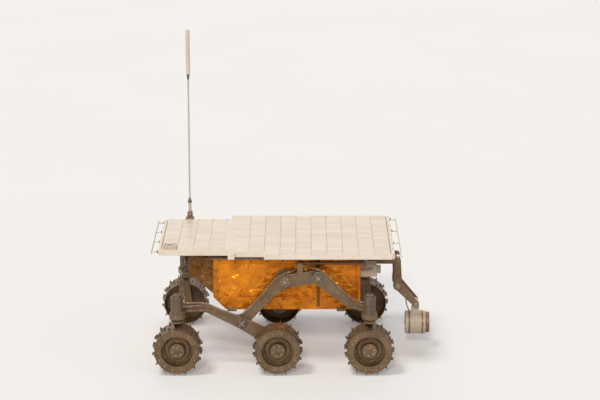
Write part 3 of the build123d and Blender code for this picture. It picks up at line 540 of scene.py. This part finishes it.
def wheel_details():
    """Pressed rings and rivets in the disc, and the hub cap's dome and screws."""
    for side_name, side in SIDES.items():
        out = Vector((0, side, 0))
        for end in ENDS:
            at = JOINT_AT[f"roll_{end}_{side_name}"]
            body = f"wheel_{end}_{side_name}"
            hub = at + out * HUB_T * MM
            pressed = Piece(f"disc_rings_{end}_{side_name}", "wheel_steel", body, turning=True)
            for radius, half, height in PRESSED_RINGS:
                slope, top = half * 0.45, height * 0.8
                ring = [(-half, SUNK), (-slope, top), (0, height), (slope, top), (half, SUNK)]
                pressed.lathe(place(at + out * WEB_T * MM, out), [(radius + r, h) for r, h in ring], 48)
            pressed.lathe(place(hub, out), HUB_DOME, 32)
            pressed.done()
            screws = screws_piece(f"disc_rivets_{end}_{side_name}", body, turning=True)
            for distance, ring, count, radius, height in WHEEL_RIVETS:
                for spot in circle_places(at + out * distance * MM, out, ring, count):
                    screws.rivet(spot, radius, height)
            for spot in circle_places(hub, out, HUB_SCREW_RING, HUB_SCREWS, 15):
                screws.screw(spot, 1.7, 1.8)
            screws.done()


# Screws in the pivots' caps: node, the radius of their circle, how many, and their radius
PIVOT_SCREWS = [("fold_pins", 8.0, 4, 1.5), ("bogie_pins", 8.0, 4, 1.5), ("rocker_hubs", 10.5, 6, 1.6)]
PIN_NUT = [(9.0, 0), (9.0, 0.8), (6.5, 1.0), (6.5, 3.6), (5.6, 4.2), (0, 4.2)]


def pivot_details():
    """Screws in the caps of the fold pins, bogie pins and rocker hubs, and the pins' nuts behind."""
    piece = screws_piece("pivot_screws")
    inner_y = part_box("rocker_front_left")[0].y
    for node, ring, count, radius in PIVOT_SCREWS:
        middle, outer_y = middle_of(node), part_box(node)[1].y
        for side in SIDES.values():
            out = Vector((0, side, 0))
            centre = Vector((middle.x, side * outer_y, middle.z))
            for spot in circle_places(centre, out, ring, count, 45):
                piece.screw(spot, radius, 1.6)
            piece.screw(place(centre, out), 3.4, 2.6)
            if node != "rocker_hubs":
                piece.lathe(place((centre.x, side * inner_y, centre.z), -out), PIN_NUT, 6)
    piece.done()


ARM_TALL = 13.0           # steering plate's top, over the joint's place
CAN_TALL, CAN_R = 46.0, 15.0
# Bands round a steering motor's can: from and to which height, and how far they stand proud
CAN_BANDS = [(3, 6, 1.2), (17, 19, 0.8), (41, 45, 1.2)]
# Screws on it: height, the radius of their circle, their radius and their height
CAN_SCREWS = [(3, 16.6, 1.2, 1.5), (CAN_TALL + 5, 7.5, 1.1, 1.2)]
# Its connector, and how far that reaches into the can
PLUG_WIDE, PLUG_DEEP, PLUG_TALL, PLUG_Z = 9.0, 7.0, 10.0, 27.0
PLUG_SUNK = 1.0


def steering_motor_details():
    """Bands, screws and a connector on each steering motor's can."""
    bands = Piece("motor_bands", "motor_metal")
    screws = screws_piece("motor_screws")
    plugs = Piece("motor_connectors", "black_metal")
    for end in ("front", "rear"):
        for side_name, side in SIDES.items():
            at = JOINT_AT[f"steering_{end}_{side_name}"] + UP * ARM_TALL * MM
            for low, high, proud in CAN_BANDS:
                inner, rim = CAN_R - 0.5, CAN_R + proud
                band = [(inner, low), (rim, low + 0.5), (rim, high - 0.5), (inner, high)]
                bands.lathe(place(at, UP), band, 36)
            for z, ring, radius, height in CAN_SCREWS:
                for spot in circle_places(at + UP * z * MM, UP, ring, 4, 45):
                    screws.screw(spot, radius, height)
            inboard = -side * (CAN_R + PLUG_DEEP / 2 - PLUG_SUNK)
            plug_at = Matrix.Translation(at) @ moved(0, inboard, PLUG_Z)
            plugs.block(plug_at, (PLUG_WIDE, PLUG_DEEP), (-PLUG_TALL / 2, PLUG_TALL / 2), 0.8)
    for piece in (bands, screws, plugs):
        piece.done()


# Inboard cap of a drive motor, and its connector's place: inward and up from the cap's foot
MOTOR_CAP = [(17.5, 0), (17.5, 1.2), (14.5, 1.8), (14.5, 5), (13, 6), (5, 6), (4.5, 7.2), (0, 7.2)]
CAP_PLUG_IN, CAP_PLUG_UP = 5, 9


def motor_caps():
    """Inboard caps of the six drive motors, with their screws, a connector and a short lead."""
    for side_name, side in SIDES.items():
        inward = Vector((0, -side, 0))
        for end in ENDS:
            steered = end != "middle"
            body = f"steer_{end}_{side_name}" if steered else "root"
            low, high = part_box(f"steer_bracket_{end}_{side_name}" if steered else f"bogie_{side_name}")
            at = JOINT_AT[f"roll_{end}_{side_name}"]
            centre = Vector((at.x, side * min(abs(low.y), abs(high.y)), at.z))
            caps = Piece(f"motor_cap_{end}_{side_name}", "motor_metal", body)
            caps.lathe(place(centre, inward), MOTOR_CAP, 32)
            plug = centre + (inward * CAP_PLUG_IN + UP * CAP_PLUG_UP) * MM
            caps.block(place(plug, inward), (8, 6), (0, 5))
            caps.done()
            screws = screws_piece(f"motor_cap_screws_{end}_{side_name}", body)
            for spot in circle_places(centre, inward, 19.0, 4, 45):
                screws.screw(spot, 1.1, 1.3)
            screws.done()
            # The lead leaves the connector and rises along the bracket or the bogie.
            ahead, rise = (4, 58) if steered else (26, 30)
            steps = [(0, 10, 10), (0, 15, 12), (0, 13, 24), (ahead, 2.2, rise * 0.6), (ahead, 2.0, rise)]
            run = [centre + Vector((x, -side * depth, z)) * MM for x, depth, z in steps]
            lead = Piece(f"motor_lead_{end}_{side_name}", "wire_tan", body, "bare_metal")
            lead.tube(smooth_path(run), 1.5)
            lead.done()


# Routes of the wiring along the arms: X from the panel's middle, out from the middle plane, and Z
FRONT_WIRE = [
    (256, 184, 189), (256, 172, 180), (246, 154, 171), (226, 153, 170), (184, 153, 171), (140, 153, 150),
    (100, 152, 135), (78, 146, 146), (40, 141, 186), (22, 140, 209), (0, 140, 234), (-24, 139, 248),
    (-44, 132, 250), (-52, 118, 252),
]
REAR_WIRE = [
    (-242, 184, 189), (-242, 172, 180), (-236, 154, 172), (-222, 153, 172), (-198, 153, 181),
    (-170, 153, 205), (-136, 153, 243), (-112, 152, 261), (-92, 141, 262), (-84, 128, 259), (-80, 118, 256),
]
WIRE_R = 2.1
TIE_PITCH = 34.0
TIE_BAND = [(WIRE_R, -1.6), (WIRE_R + 0.7, -1.2), (WIRE_R + 0.7, 1.2), (WIRE_R, 1.6)]


def wiring():
    """A wire bundle along each side's arms, from a steering motor to the box, with its ties."""
    middle_x = middle_of("solar_panel").x
    for side_name, side in SIDES.items():
        wires = Piece(f"arm_wiring_{side_name}", "wire_tan", slot="bare_metal")
        ties = Piece(f"wiring_ties_{side_name}", "tie_white", slot="white_metal")
        for route in (FRONT_WIRE, REAR_WIRE):
            path = smooth_path([(middle_x + x * MM, side * y * MM, z * MM) for x, y, z in route])
            wires.tube(path, WIRE_R)
            run = 0.0
            for before, here in zip(path[2:-2], path[3:-2]):
                run += (here - before).length
                if run > TIE_PITCH * MM:
                    run = 0.0
                    ties.lathe(place(here, here - before), TIE_BAND, 12)
        wires.done()
        ties.done()


# Fine pieces: films

BAY_DEPTH, BAY_MARGIN = 2.5, 11.0
BAY_LOW_Z, BAY_HIGH_Z = 176.0, 268.0
SEAM_FROM_FRONT = 276.0   # from the box's front to the frame between the bays
SEAM_WIDE, SEAM_PROUD = 9.0, 0.5
FRONT_CUT = 34.0          # slope of the box's lower front edge
END_INSET = 10.0          # film on the box's rear and slope, inside the box's sides
BUTTON_OFF, BUTTON_INSET, BUTTON_PITCH = 5.5, 6.0, 42.0   # from a bay's edge, from its ends, and apart
FACET, EDGE_FACET = 9.0, 11.0   # spacing of a film's creases, inside it and along its edges
HELD = 7.0                # width of the strip in which a film rises from its edge
MERGED = 0.4              # creases nearer than this meet


def film_height(point, seed):
    """How far a loose film stands off, from 0 to 1: a slow swell, and each crease's own height."""
    shift = Vector((seed * 0.37, seed * 0.11, seed * 0.23))
    swell = 0.5 + 0.5 * noise.noise(point * 15 + shift)
    own = noise.cell(point / MM + 10 * shift)
    return min(1.0, 0.12 + 0.45 * swell + 0.50 * own)


def film_sheet(name, finish, corners, out, proud, seed, slot="gold_skin"):
    """A crumpled film over a four-cornered face, held down all round, in flat facets between creases."""
    a, b, c, d = (Vector(corner) for corner in corners)
    out = Vector(out).normalized()
    chance = random.Random(seed)
    wide, tall = (b - a).length, (d - a).length
    columns, rows = round(wide / (EDGE_FACET * MM)), round(tall / (EDGE_FACET * MM))
    spots = [(k / columns, v) for k in range(columns + 1) for v in (0, 1)]
    spots += [(u, k / rows) for k in range(1, rows) for u in (0, 1)]
    for _ in range(round(wide * tall / (FACET * MM) ** 2)):
        spots.append((chance.uniform(0.02, 0.98), chance.uniform(0.04, 0.96)))
    flat = [Vector((u * wide, v * tall)) for u, v in spots]
    flat, _, faces, *_ = geometry.delaunay_2d_cdt(flat, [], [], 0, MERGED * MM)
    points = []
    for x, y in flat:
        u, v = x / wide, y / tall
        point = (a * (1 - u) + b * u) * (1 - v) + (d * (1 - u) + c * u) * v
        inward = min(x, y, wide - x, tall - y) / (HELD * MM)
        height = film_height(point, seed) * proud * min(1.0, inward)
        points.append(point + out * (height - 0.1) * MM)
    film = Piece(name, finish, slot=slot)
    film.add(points, faces)
    bmesh.ops.holes_fill(film.mesh, edges=film.mesh.edges, sides=0)
    film.done(crease=4)


def box_films():
    """Loose film in the box's side bays and over its rear and lower front, with its buttons and seams."""
    low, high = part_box("warm_box")
    seam_x = high.x - SEAM_FROM_FRONT * MM
    half = BAY_MARGIN / 2 * MM
    bays = {
        "front": (seam_x + half, high.x - BAY_MARGIN * MM),
        "rear": (low.x + BAY_MARGIN * MM, seam_x - half),
    }
    z0, z1 = BAY_LOW_Z * MM, BAY_HIGH_Z * MM
    seam_low, seam_high = low.z + 8 * MM, high.z - 2 * MM
    buttons = Piece("film_buttons", "seam_film", slot="gold_skin")
    strips = Piece("seam_strips", "seam_film", slot="gold_skin")
    for side_name, side in SIDES.items():
        out = Vector((0, side, 0))
        floor_y = side * (high.y - BAY_DEPTH * MM)
        for number, (bay, (x0, x1)) in enumerate(bays.items()):
            corners = [(x, floor_y, z) for x, z in ((x0, z0), (x1, z0), (x1, z1), (x0, z1))]
            film_sheet(f"film_{bay}_{side_name}", "blanket", corners, out, 2.0, 3 * number + side)
            count = max(2, round((x1 - x0) / (BUTTON_PITCH * MM)))
            for z in (z0 - BUTTON_OFF * MM, z1 + BUTTON_OFF * MM):
                for x in spread(x0 + BUTTON_INSET * MM, x1 - BUTTON_INSET * MM, count + 1):
                    buttons.rivet(place((x, side * high.y, z), out), 2.4, 1.1)
        seam = place((seam_x, side * high.y, (seam_low + seam_high) / 2), out)
        strips.block(seam, (SEAM_WIDE, (seam_high - seam_low) / MM), (0, SEAM_PROUD))
    inset = high.y - END_INSET * MM
    rear_low = z0 - 8 * MM
    rear = [(low.x, y, z) for y, z in ((inset, rear_low), (-inset, rear_low), (-inset, z1), (inset, z1))]
    film_sheet("film_rear_face", "gold_skin", rear, (-1, 0, 0), 1.3, 11)
    foot = (high.x - FRONT_CUT * MM + 5 * MM, low.z + 5 * MM)
    head = (high.x - 3 * MM, low.z + (FRONT_CUT - 3) * MM)
    slope = [(x, side * inset, z) for side, (x, z) in ((-1, foot), (1, foot), (1, head), (-1, head))]
    film_sheet("film_front_slope", "gold_skin", slope, (1, 0, -1), 1.2, 17)
    buttons.done()
    strips.done()


# The hood's cheek: its front edge's height, and its lower rear corner over the bays' lower edge
HOOD_FRONT_TALL, HOOD_LOW_OVER = 40.0, 2.0


def hood_details():
    """Film over the hood's cheeks, and the rivets along its edges."""
    low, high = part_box("camera_hood")
    rear_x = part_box("warm_box")[1].x
    edge = 5 * MM
    low_rear_z = (BAY_LOW_Z + HOOD_LOW_OVER) * MM + edge
    low_front_z = high.z - HOOD_FRONT_TALL * MM + edge
    near_x, far_x, top_z = rear_x + edge, high.x - edge, high.z - edge
    rivets = screws_piece("hood_rivets")
    for side_name, side in SIDES.items():
        out, y = (0, side, 0), side * high.y
        cheek = [(near_x, low_rear_z + edge), (far_x, low_front_z), (far_x, top_z), (near_x, top_z)]
        cheek = [(x, y, z) for x, z in cheek]
        # The cheeks take the hood's darker film, which is painted shade.
        film_sheet(f"hood_film_{side_name}", "hood_skin", cheek, out, 1.0, 23 + side, "hood_skin")
        for z in spread(low_rear_z, top_z, 5):
            rivets.rivet(place((rear_x + 2.6 * MM, y, z), out), 1.5, 0.9)
        for x in spread(near_x, far_x, 4):
            rivets.rivet(place((x, y, high.z - 2.4 * MM), out), 1.3, 0.8)
    for y in spread(low.y + edge, high.y - edge, 8):
        rivets.rivet(place((high.x - 4 * MM, y, high.z), UP), 1.5, 0.9)
    rivets.done()


# Fine pieces: deck

INSERT = [(2.6, 0), (2.6, 0.35), (1.5, 0.45), (1.3, 0.2), (0, 0.2)]
BUS_WIDE = 2.6
PEGS, PEG_R, PEG_INSET = 4, 2.2, 9.0
PEG_COLLAR = [(2.0, -0.5), (4.4, 0), (4.4, 1.2), (3.2, 2.2), (2.2, 3.6), (2.0, 3.6)]


def deck_details():
    """Potted inserts in the deck's bare margins, the cells' bus ribbons, and the bumpers' peg collars."""
    low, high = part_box("solar_panel")
    cells_low, cells_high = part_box("cell_rows")
    nose_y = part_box("front_bumper")[1].y
    inserts = screws_piece("deck_inserts")
    rear_x = (low.x + cells_low.x) / 2 - 2.5 * MM
    spots = [((rear_x, y, high.z), UP) for y in spread(low.y + 12 * MM, high.y - 12 * MM, 9)]
    for x in spread(low.x + 30 * MM, high.x - 30 * MM, 7):
        spots += [((x, y, low.z), -UP) for y in (low.y + 40 * MM, high.y - 60 * MM, 0)]
    for x in spread(high.x - 20 * MM, high.x - 170 * MM, 5):
        spots.append(((x, -nose_y - 0.5 * MM, high.z), UP))
    for spot, way in spots:
        inserts.lathe(place(spot, way), INSERT)
    inserts.done()
    ribbons = Piece("bus_ribbons", "motor_metal")
    rear, front = (cells_low.x - 2.2 * MM, cells_high.y - 6 * MM), (cells_high.x + 2 * MM, nose_y - 14 * MM)
    for x, half in (rear, front):
        ribbons.block(place((x, 0, high.z), UP), (BUS_WIDE, 2 * half / MM), (-0.1, 0.3), 0.2)
    ribbons.done()
    collars = Piece("bumper_collars", "motor_metal", slot="panel_white")
    for node, edge_x, way in (("front_bumper", high.x, 1), ("rear_bumper", low.x, -1)):
        peg_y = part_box(node)[1].y - (PEG_INSET + PEG_R) * MM
        for y in spread(-peg_y, peg_y, PEGS):
            collars.lathe(place((edge_x, y, middle_of(node).z), (way, 0, 0)), PEG_COLLAR, 16)
    collars.done()


def cell_ribbons():
    """Three ribbons bridge each gap between neighbouring cells of a column."""
    places = cell_grid()
    piece = Piece("cell_ribbons", "ribbon_metal", slot="bare_metal")
    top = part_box("cell_rows")[1].z
    near = 1.0 * MM
    for x, y in places:
        behind = x - PITCH_X
        if any(abs(behind - other_x) < near and abs(y - other_y) < near for other_x, other_y in places):
            gap_x = x - (CELL_LONG + CELL_GAP / 2) * MM
            for share in (0.2, 0.5, 0.8):
                at = place((gap_x, y - CELL_WIDE * share * MM, top), UP)
                piece.block(at, (3.4, 1.4), (-0.3, 0.15), 0.25)
    piece.done()


def dust_window():
    """The dust experiment's small glass and its screws."""
    low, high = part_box("dust_experiment")
    middle = middle_of("dust_experiment")
    glass = Piece("dust_window", "lens_glass", slot="cells")
    disc = [(7.9, -1.4), (7.9, -0.9), (7.2, -0.6), (0, -0.6)]
    glass.lathe(place((middle.x, middle.y, high.z), UP), disc, 32)
    glass.done()
    screws = screws_piece("dust_screws")
    inset = 4 * MM
    for x in (low.x + inset, high.x - inset):
        for y in (low.y + inset, high.y - inset):
            screws.screw(place((x, y, high.z), UP), 1.3, 1.2)
    screws.done()


def antenna_details():
    """Screws on the bracket, and the collars at the foot and at the tip of the mast."""
    low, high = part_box("antenna_base")
    screws = screws_piece("antenna_screws")
    for x in (low.x + 5 * MM, high.x - 5 * MM):
        for z in (low.z + 4 * MM, low.z + 12 * MM):
            screws.screw(place((x, low.y, z), (0, -1, 0)), 1.6, 1.6)
    screws.done()
    pivot = JOINT_AT["antenna_fold"]
    tip_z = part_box("antenna_tip")[0].z
    foot = [(4.2, 30), (5.4, 31), (5.4, 37), (3.4, 39), (2.3, 44), (2.1, 44)]
    ferrule = [(2.1, -14), (2.9, -13), (3.6, -2), (5.0, 0.5), (5.0, 1.5), (1.9, 1.5)]
    collars = Piece("antenna_collars", "motor_metal", "antenna")
    collars.lathe(place(pivot, UP), foot, 24)
    collars.lathe(place((pivot.x, pivot.y, tip_z), UP), ferrule, 24)
    collars.done()


# Fine pieces: rear, box and instruments

BAR_BEHIND, ROD_INSET = 14.0, 8.0   # differential bar behind the box, and its rods from its ends


def rear_bolts():
    """Bolts of the differential and of the sensor's mount."""
    bolts = screws_piece("link_bolts")
    rear_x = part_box("warm_box")[0].x
    bar_z = middle_of("differential_bar").z
    rod_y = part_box("differential_bar")[1].y - ROD_INSET * MM
    for y, height, radius in ((0, 9, 5.0), (rod_y, 7, 3.2), (-rod_y, 7, 3.2)):
        for way in (1, -1):
            spot = (rear_x - BAR_BEHIND * MM, y, bar_z + way * height * MM)
            bolts.screw(place(spot, (0, 0, way)), radius, 2.4)
    mount_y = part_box("sensor_mount")[1].y
    pivot = JOINT_AT["sensor_swing"]
    plate_x = rear_x - 5 * MM
    for side in SIDES.values():
        out = (0, side, 0)
        bolts.screw(place((pivot.x, side * mount_y, pivot.z), out), 5.0, 2.6)
        for x, z in ((plate_x, 238), (plate_x, 254), (pivot.x, 250)):
            bolts.screw(place((x, side * mount_y, z * MM), out), 1.9, 1.7)
    bolts.done()


def lid_rivets():
    """Rivets along the lid's sides and its rear."""
    rivets = screws_piece("lid_rivets")
    low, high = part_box("box_lid")
    middle_z, inset = middle_of("box_lid").z, 14 * MM
    for x in spread(low.x + inset, high.x - inset, 10):
        for side in SIDES.values():
            rivets.rivet(place((x, side * high.y, middle_z), (0, side, 0)), 1.4, 0.8)
    for y in spread(low.y + inset, high.y - inset, 6):
        rivets.rivet(place((low.x, y, middle_z), (-1, 0, 0)), 1.4, 0.8)
    rivets.done()


def box_cables():
    """Short cables, fixed at both ends: to the sensor's pivot, to the antenna and to the rear camera."""
    rear_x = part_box("warm_box")[0].x
    pivot = JOINT_AT["sensor_swing"]
    mast_x, lid_x = middle_of("antenna_base").x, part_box("box_lid")[1].x
    camera_low, camera_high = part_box("camera_rear")
    socket_x = camera_low.x + 22 * MM
    # Each cable: the place along Y that its steps start from, its radius, and steps of a place along X, so
    # many millimetres ahead of it, so many across, and the height
    runs = [
        (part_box("sensor_mount")[0].y, 1.8, [
            (rear_x, 1, 3, 226), (rear_x, -12, 3, 228), (rear_x, -26, 3, 238), (pivot.x, 22, 3, 239),
            (pivot.x, 10, 3, 232), (pivot.x, 9, 3, 200), (pivot.x, 4, 3, 190),
        ]),
        (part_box("antenna_base")[1].y, 1.6, [
            (mast_x, 0, -6, 301), (mast_x, -2, -5, 294), (mast_x, -16, 12, 292), (lid_x, 14, 40, 292),
            (lid_x, -6, 62, 290), (lid_x, -14, 68, 283),
        ]),
        (camera_high.y, 1.8, [
            (socket_x, 0, -1, 246), (socket_x, 0, 8, 247), (rear_x, -16, 10, 247), (rear_x, -4, 9, 246),
            (rear_x, 2, 9, 244),
        ]),
    ]
    cables = Piece("box_cables", "wire_tan", slot="bare_metal")
    for start_y, radius, steps in runs:
        route = [(x + ahead * MM, start_y + across * MM, z * MM) for x, ahead, across, z in steps]
        cables.tube(smooth_path(route), radius)
    cables.done()


FACE_TILT = 22.0          # degrees that the front cameras look down
FACE_OFF, FACE_Z = 17.5, 238.0
CAMERA_Y, CAMERA_UP, CAMERA_END, CAMERA_LENS_R = 62.5, 18.0, 53.0, 11.0
CAMERA_FRONT, SCREW_OFF = 44.0, 12.5   # the camera body's front face, and its screws from its middle
LASER_DOWN, LASER_END, LASER_PITCH, LASERS, LASER_LENS_R = 22.0, 21.0, 30.0, 5, 5.0
# Profiles of a lens of radius 1. Their heights are the same for every radius.
LENS_RIM = [(1.0, -0.3), (1.0, 0.9), (0.94, 1.3), (0.80, 1.3), (0.74, 0.4), (0.74, -0.2)]
LENS_DOME = [(0.76, 0.1), (0.60, 0.55), (0.35, 0.85), (0, 0.95)]


def camera_details():
    """Lenses of the cameras and of the stripe projectors, and the cameras' screws."""
    glass = Piece("lens_glasses", "lens_glass", slot="cells")
    rims = Piece("lens_rims", "motor_metal")
    screws = screws_piece("camera_screws")

    def lens(spot, radius):
        """A retaining ring with a domed glass inside it."""
        for piece, profile in ((rims, LENS_RIM), (glass, LENS_DOME)):
            piece.lathe(spot, [(r * radius, h) for r, h in profile], 32)

    box_low, box_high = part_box("warm_box")
    ahead = Matrix.Rotation(math.radians(90), 4, "Y")
    tilt = Matrix.Rotation(math.radians(FACE_TILT), 4, "Y")
    face = Matrix.Translation((box_high.x + FACE_OFF * MM, 0, FACE_Z * MM)) @ tilt
    rear_middle = middle_of("camera_rear")
    rear = Matrix.Translation((box_low.x, rear_middle.y, rear_middle.z)) @ Matrix.Rotation(math.pi, 4, "Z")
    fronts = [face @ moved(0, y, CAMERA_UP) for y in (CAMERA_Y, -CAMERA_Y)]
    for body in (*fronts, rear):
        lens(body @ moved(CAMERA_END, 0, 0) @ ahead, CAMERA_LENS_R)
        for y in (-SCREW_OFF, SCREW_OFF):
            for z in (-SCREW_OFF, SCREW_OFF):
                screws.screw(body @ moved(CAMERA_FRONT, y, z) @ ahead, 1.4, 1.4)
    laser_y = (LASERS - 1) / 2 * LASER_PITCH
    for y in spread(-laser_y, laser_y, LASERS):
        lens(face @ moved(LASER_END, y, -LASER_DOWN) @ ahead, LASER_LENS_R)
    for piece in (glass, rims, screws):
        piece.done()


DETECTOR = [(18, 0), (18, 1.5), (13, 1.8), (13, 4), (9, 4.4), (6.5, 4.4), (6, 2.6), (0, 2.6)]
WRIST_FROM_BACK, WRIST_Z = 26.0, 126.0


def sensor_details():
    """Clamp bands and screws on the sensor's drum, the detector inside its ring, and its cable."""
    low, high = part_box("sensor_head")
    z = middle_of("sensor_ring").z
    back = Vector((-1, 0, 0))
    radius = (high.y - low.y) / 2 / MM
    bands = Piece("sensor_bands", "bare_metal", "sensor")
    inner, outer = radius - 0.3, radius + 0.7
    for x in (low.x + 8 * MM, high.x - 10 * MM):
        bands.lathe(place((x, 0, z), back), [(inner, -2.5), (outer, -2), (outer, 2), (inner, 2.5)], 48)
    bands.done()
    screws = screws_piece("sensor_screws", "sensor")
    for spot in circle_places((high.x, 0, z), -back, radius - 6, 8, 22.5):
        screws.screw(spot, 1.5, 1.5)
    arm_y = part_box("sensor_arm")[1].y
    for side in SIDES.values():
        wrist = (low.x + WRIST_FROM_BACK * MM, side * arm_y, WRIST_Z * MM)
        screws.screw(place(wrist, (0, side, 0)), 3.2, 1.8)
    screws.done()
    detector = Piece("sensor_detector", "black_metal", "sensor")
    detector.lathe(place((low.x, 0, z), back), DETECTOR, 36)
    detector.done()
    # The cable: steps from the drum's front on its top, and then steps from the arm's pivot
    drum_top = Vector((high.x, 0, z + radius * MM))
    pivot = JOINT_AT["sensor_swing"]
    pivot_foot = Vector((pivot.x, 0, pivot.z))
    route = [drum_top + Vector(step) * MM for step in ((-12, 8, -3), (-8, 10, 8), (-2, 14, 22))]
    route += [pivot_foot + Vector(step) * MM for step in ((-22, 16, -26), (-12, 16, -10), (-6, 14, -3))]
    cable = Piece("sensor_cable", "wire_tan", "sensor", "bare_metal")
    cable.tube(smooth_path(route), 1.6)
    cable.done()


# Studio


def aim(obj, target):
    """Turns a lamp or camera so that it looks at a point."""
    obj.rotation_euler = (Vector(target) - obj.location).to_track_quat("-Z", "Y").to_euler()


def add_camera():
    """Looks at the rover from its left, with the antenna's tip and the wheels as far from the edges."""
    high = cad_bounds[1]
    elevation = math.radians(VIEW_ELEVATION)
    mast_y = JOINT_AT["antenna_fold"].y
    top = high[2] * math.cos(elevation) - mast_y * math.sin(elevation)
    bottom = -high[1] * math.sin(elevation)
    target = Vector((VIEW_SHIFT, 0.0, (top + bottom) / 2 / math.cos(elevation)))
    data = bpy.data.cameras.new("camera")
    data.sensor_width = SENSOR_WIDTH
    data.lens = SENSOR_WIDTH * VIEW_DISTANCE / (VIEW_HEIGHT * ASPECT)
    camera = bpy.data.objects.new("camera", data)
    camera.location = target + VIEW_DISTANCE * Vector((0, math.cos(elevation), math.sin(elevation)))
    aim(camera, target)
    bpy.context.scene.collection.objects.link(camera)
    bpy.context.scene.camera = camera


def seen_rays(tree):
    """1 for what the camera, a mirror or a glass sees, and 0 for light that falls on the object."""
    path = tree.nodes.new("ShaderNodeLightPath")
    total = path.outputs["Is Camera Ray"]
    for name in ("Is Glossy Ray", "Is Transmission Ray"):
        node = tree.nodes.new("ShaderNodeMath")
        node.operation = "MAXIMUM"
        tree.links.new(total, node.inputs[0])
        tree.links.new(path.outputs[name], node.inputs[1])
        total = node.outputs[0]
    return total


FLOOR_REACH = 14.0
FLOOR_GLOW = 0.22         # lifts the floor to the wall's tone where it is seen


def add_floor():
    mesh = bpy.data.meshes.new("floor")
    corners = [(x * FLOOR_REACH, y * FLOOR_REACH, 0) for x, y in ((-1, -1), (1, -1), (1, 1), (-1, 1))]
    mesh.from_pydata(corners, [], [(0, 1, 2, 3)])
    floor = bpy.data.objects.new("floor", mesh)
    shade = Shade("floor")
    tone = shade.mix(shade.noise(1.5, 4), (0.70, 0.69, 0.68), (0.74, 0.73, 0.72))
    glow = shade.math("MULTIPLY", seen_rays(shade.tree), FLOOR_GLOW)
    shade.set(Base_Color=tone, Roughness=0.85, Emission_Color=WALL, Emission_Strength=glow)
    mesh.materials.append(shade.material)
    bpy.context.scene.collection.objects.link(floor)


# Lamps, wide and far away: the way each shines from, strength, width in degrees and colour
LAMPS = [
    ("key", (0.42, 0.30, 1.10), 1.30, 16, (1.0, 0.97, 0.92)),
    ("low", (0.12, 1.00, 0.66), 1.15, 9, (1.0, 0.93, 0.84)),
    ("fill", (-0.90, 0.55, 0.50), 0.24, 60, (0.95, 0.975, 1.0)),
    ("back", (0.10, -1.00, 0.80), 0.42, 50, (1.0, 0.99, 0.97)),
]
SKY, SKY_LIGHT = (0.96, 0.97, 1.0), 0.28   # what the world lights the object with
WALL_GLOW = 0.85


def add_lamps():
    for name, way, strength, width, colour in LAMPS:
        data = bpy.data.lights.new(name, "SUN")
        data.energy, data.angle, data.color = strength, math.radians(width), colour
        lamp = bpy.data.objects.new(name, data)
        lamp.location = 3 * Vector(way)
        aim(lamp, (0, 0, 0))
        bpy.context.scene.collection.objects.link(lamp)


def add_world():
    """A soft sky that lights the object, and a pale wall where the camera or a mirror looks."""
    world = bpy.data.worlds.new("world")
    world.use_nodes = True
    tree = world.node_tree
    light = tree.nodes["Background"]
    seen = tree.nodes.new("ShaderNodeBackground")
    for node, colour, strength in ((light, SKY, SKY_LIGHT), (seen, WALL, WALL_GLOW)):
        node.inputs["Color"].default_value = (*colour, 1)
        node.inputs["Strength"].default_value = strength
    mixed = tree.nodes.new("ShaderNodeMixShader")
    tree.links.new(seen_rays(tree), mixed.inputs[0])
    tree.links.new(light.outputs[0], mixed.inputs[1])
    tree.links.new(seen.outputs[0], mixed.inputs[2])
    tree.links.new(mixed.outputs[0], tree.nodes["World Output"].inputs["Surface"])
    bpy.context.scene.world = world


add_camera()
add_floor()
add_lamps()
add_world()
dress_nodes()
wheel_details()
pivot_details()
steering_motor_details()
wiring()
box_films()
hood_details()
camera_details()
cell_ribbons()
deck_details()
rear_bolts()
lid_rivets()
box_cables()
motor_caps()
dust_window()
antenna_details()
sensor_details()
bpy.context.scene.view_settings.view_transform = "Standard"
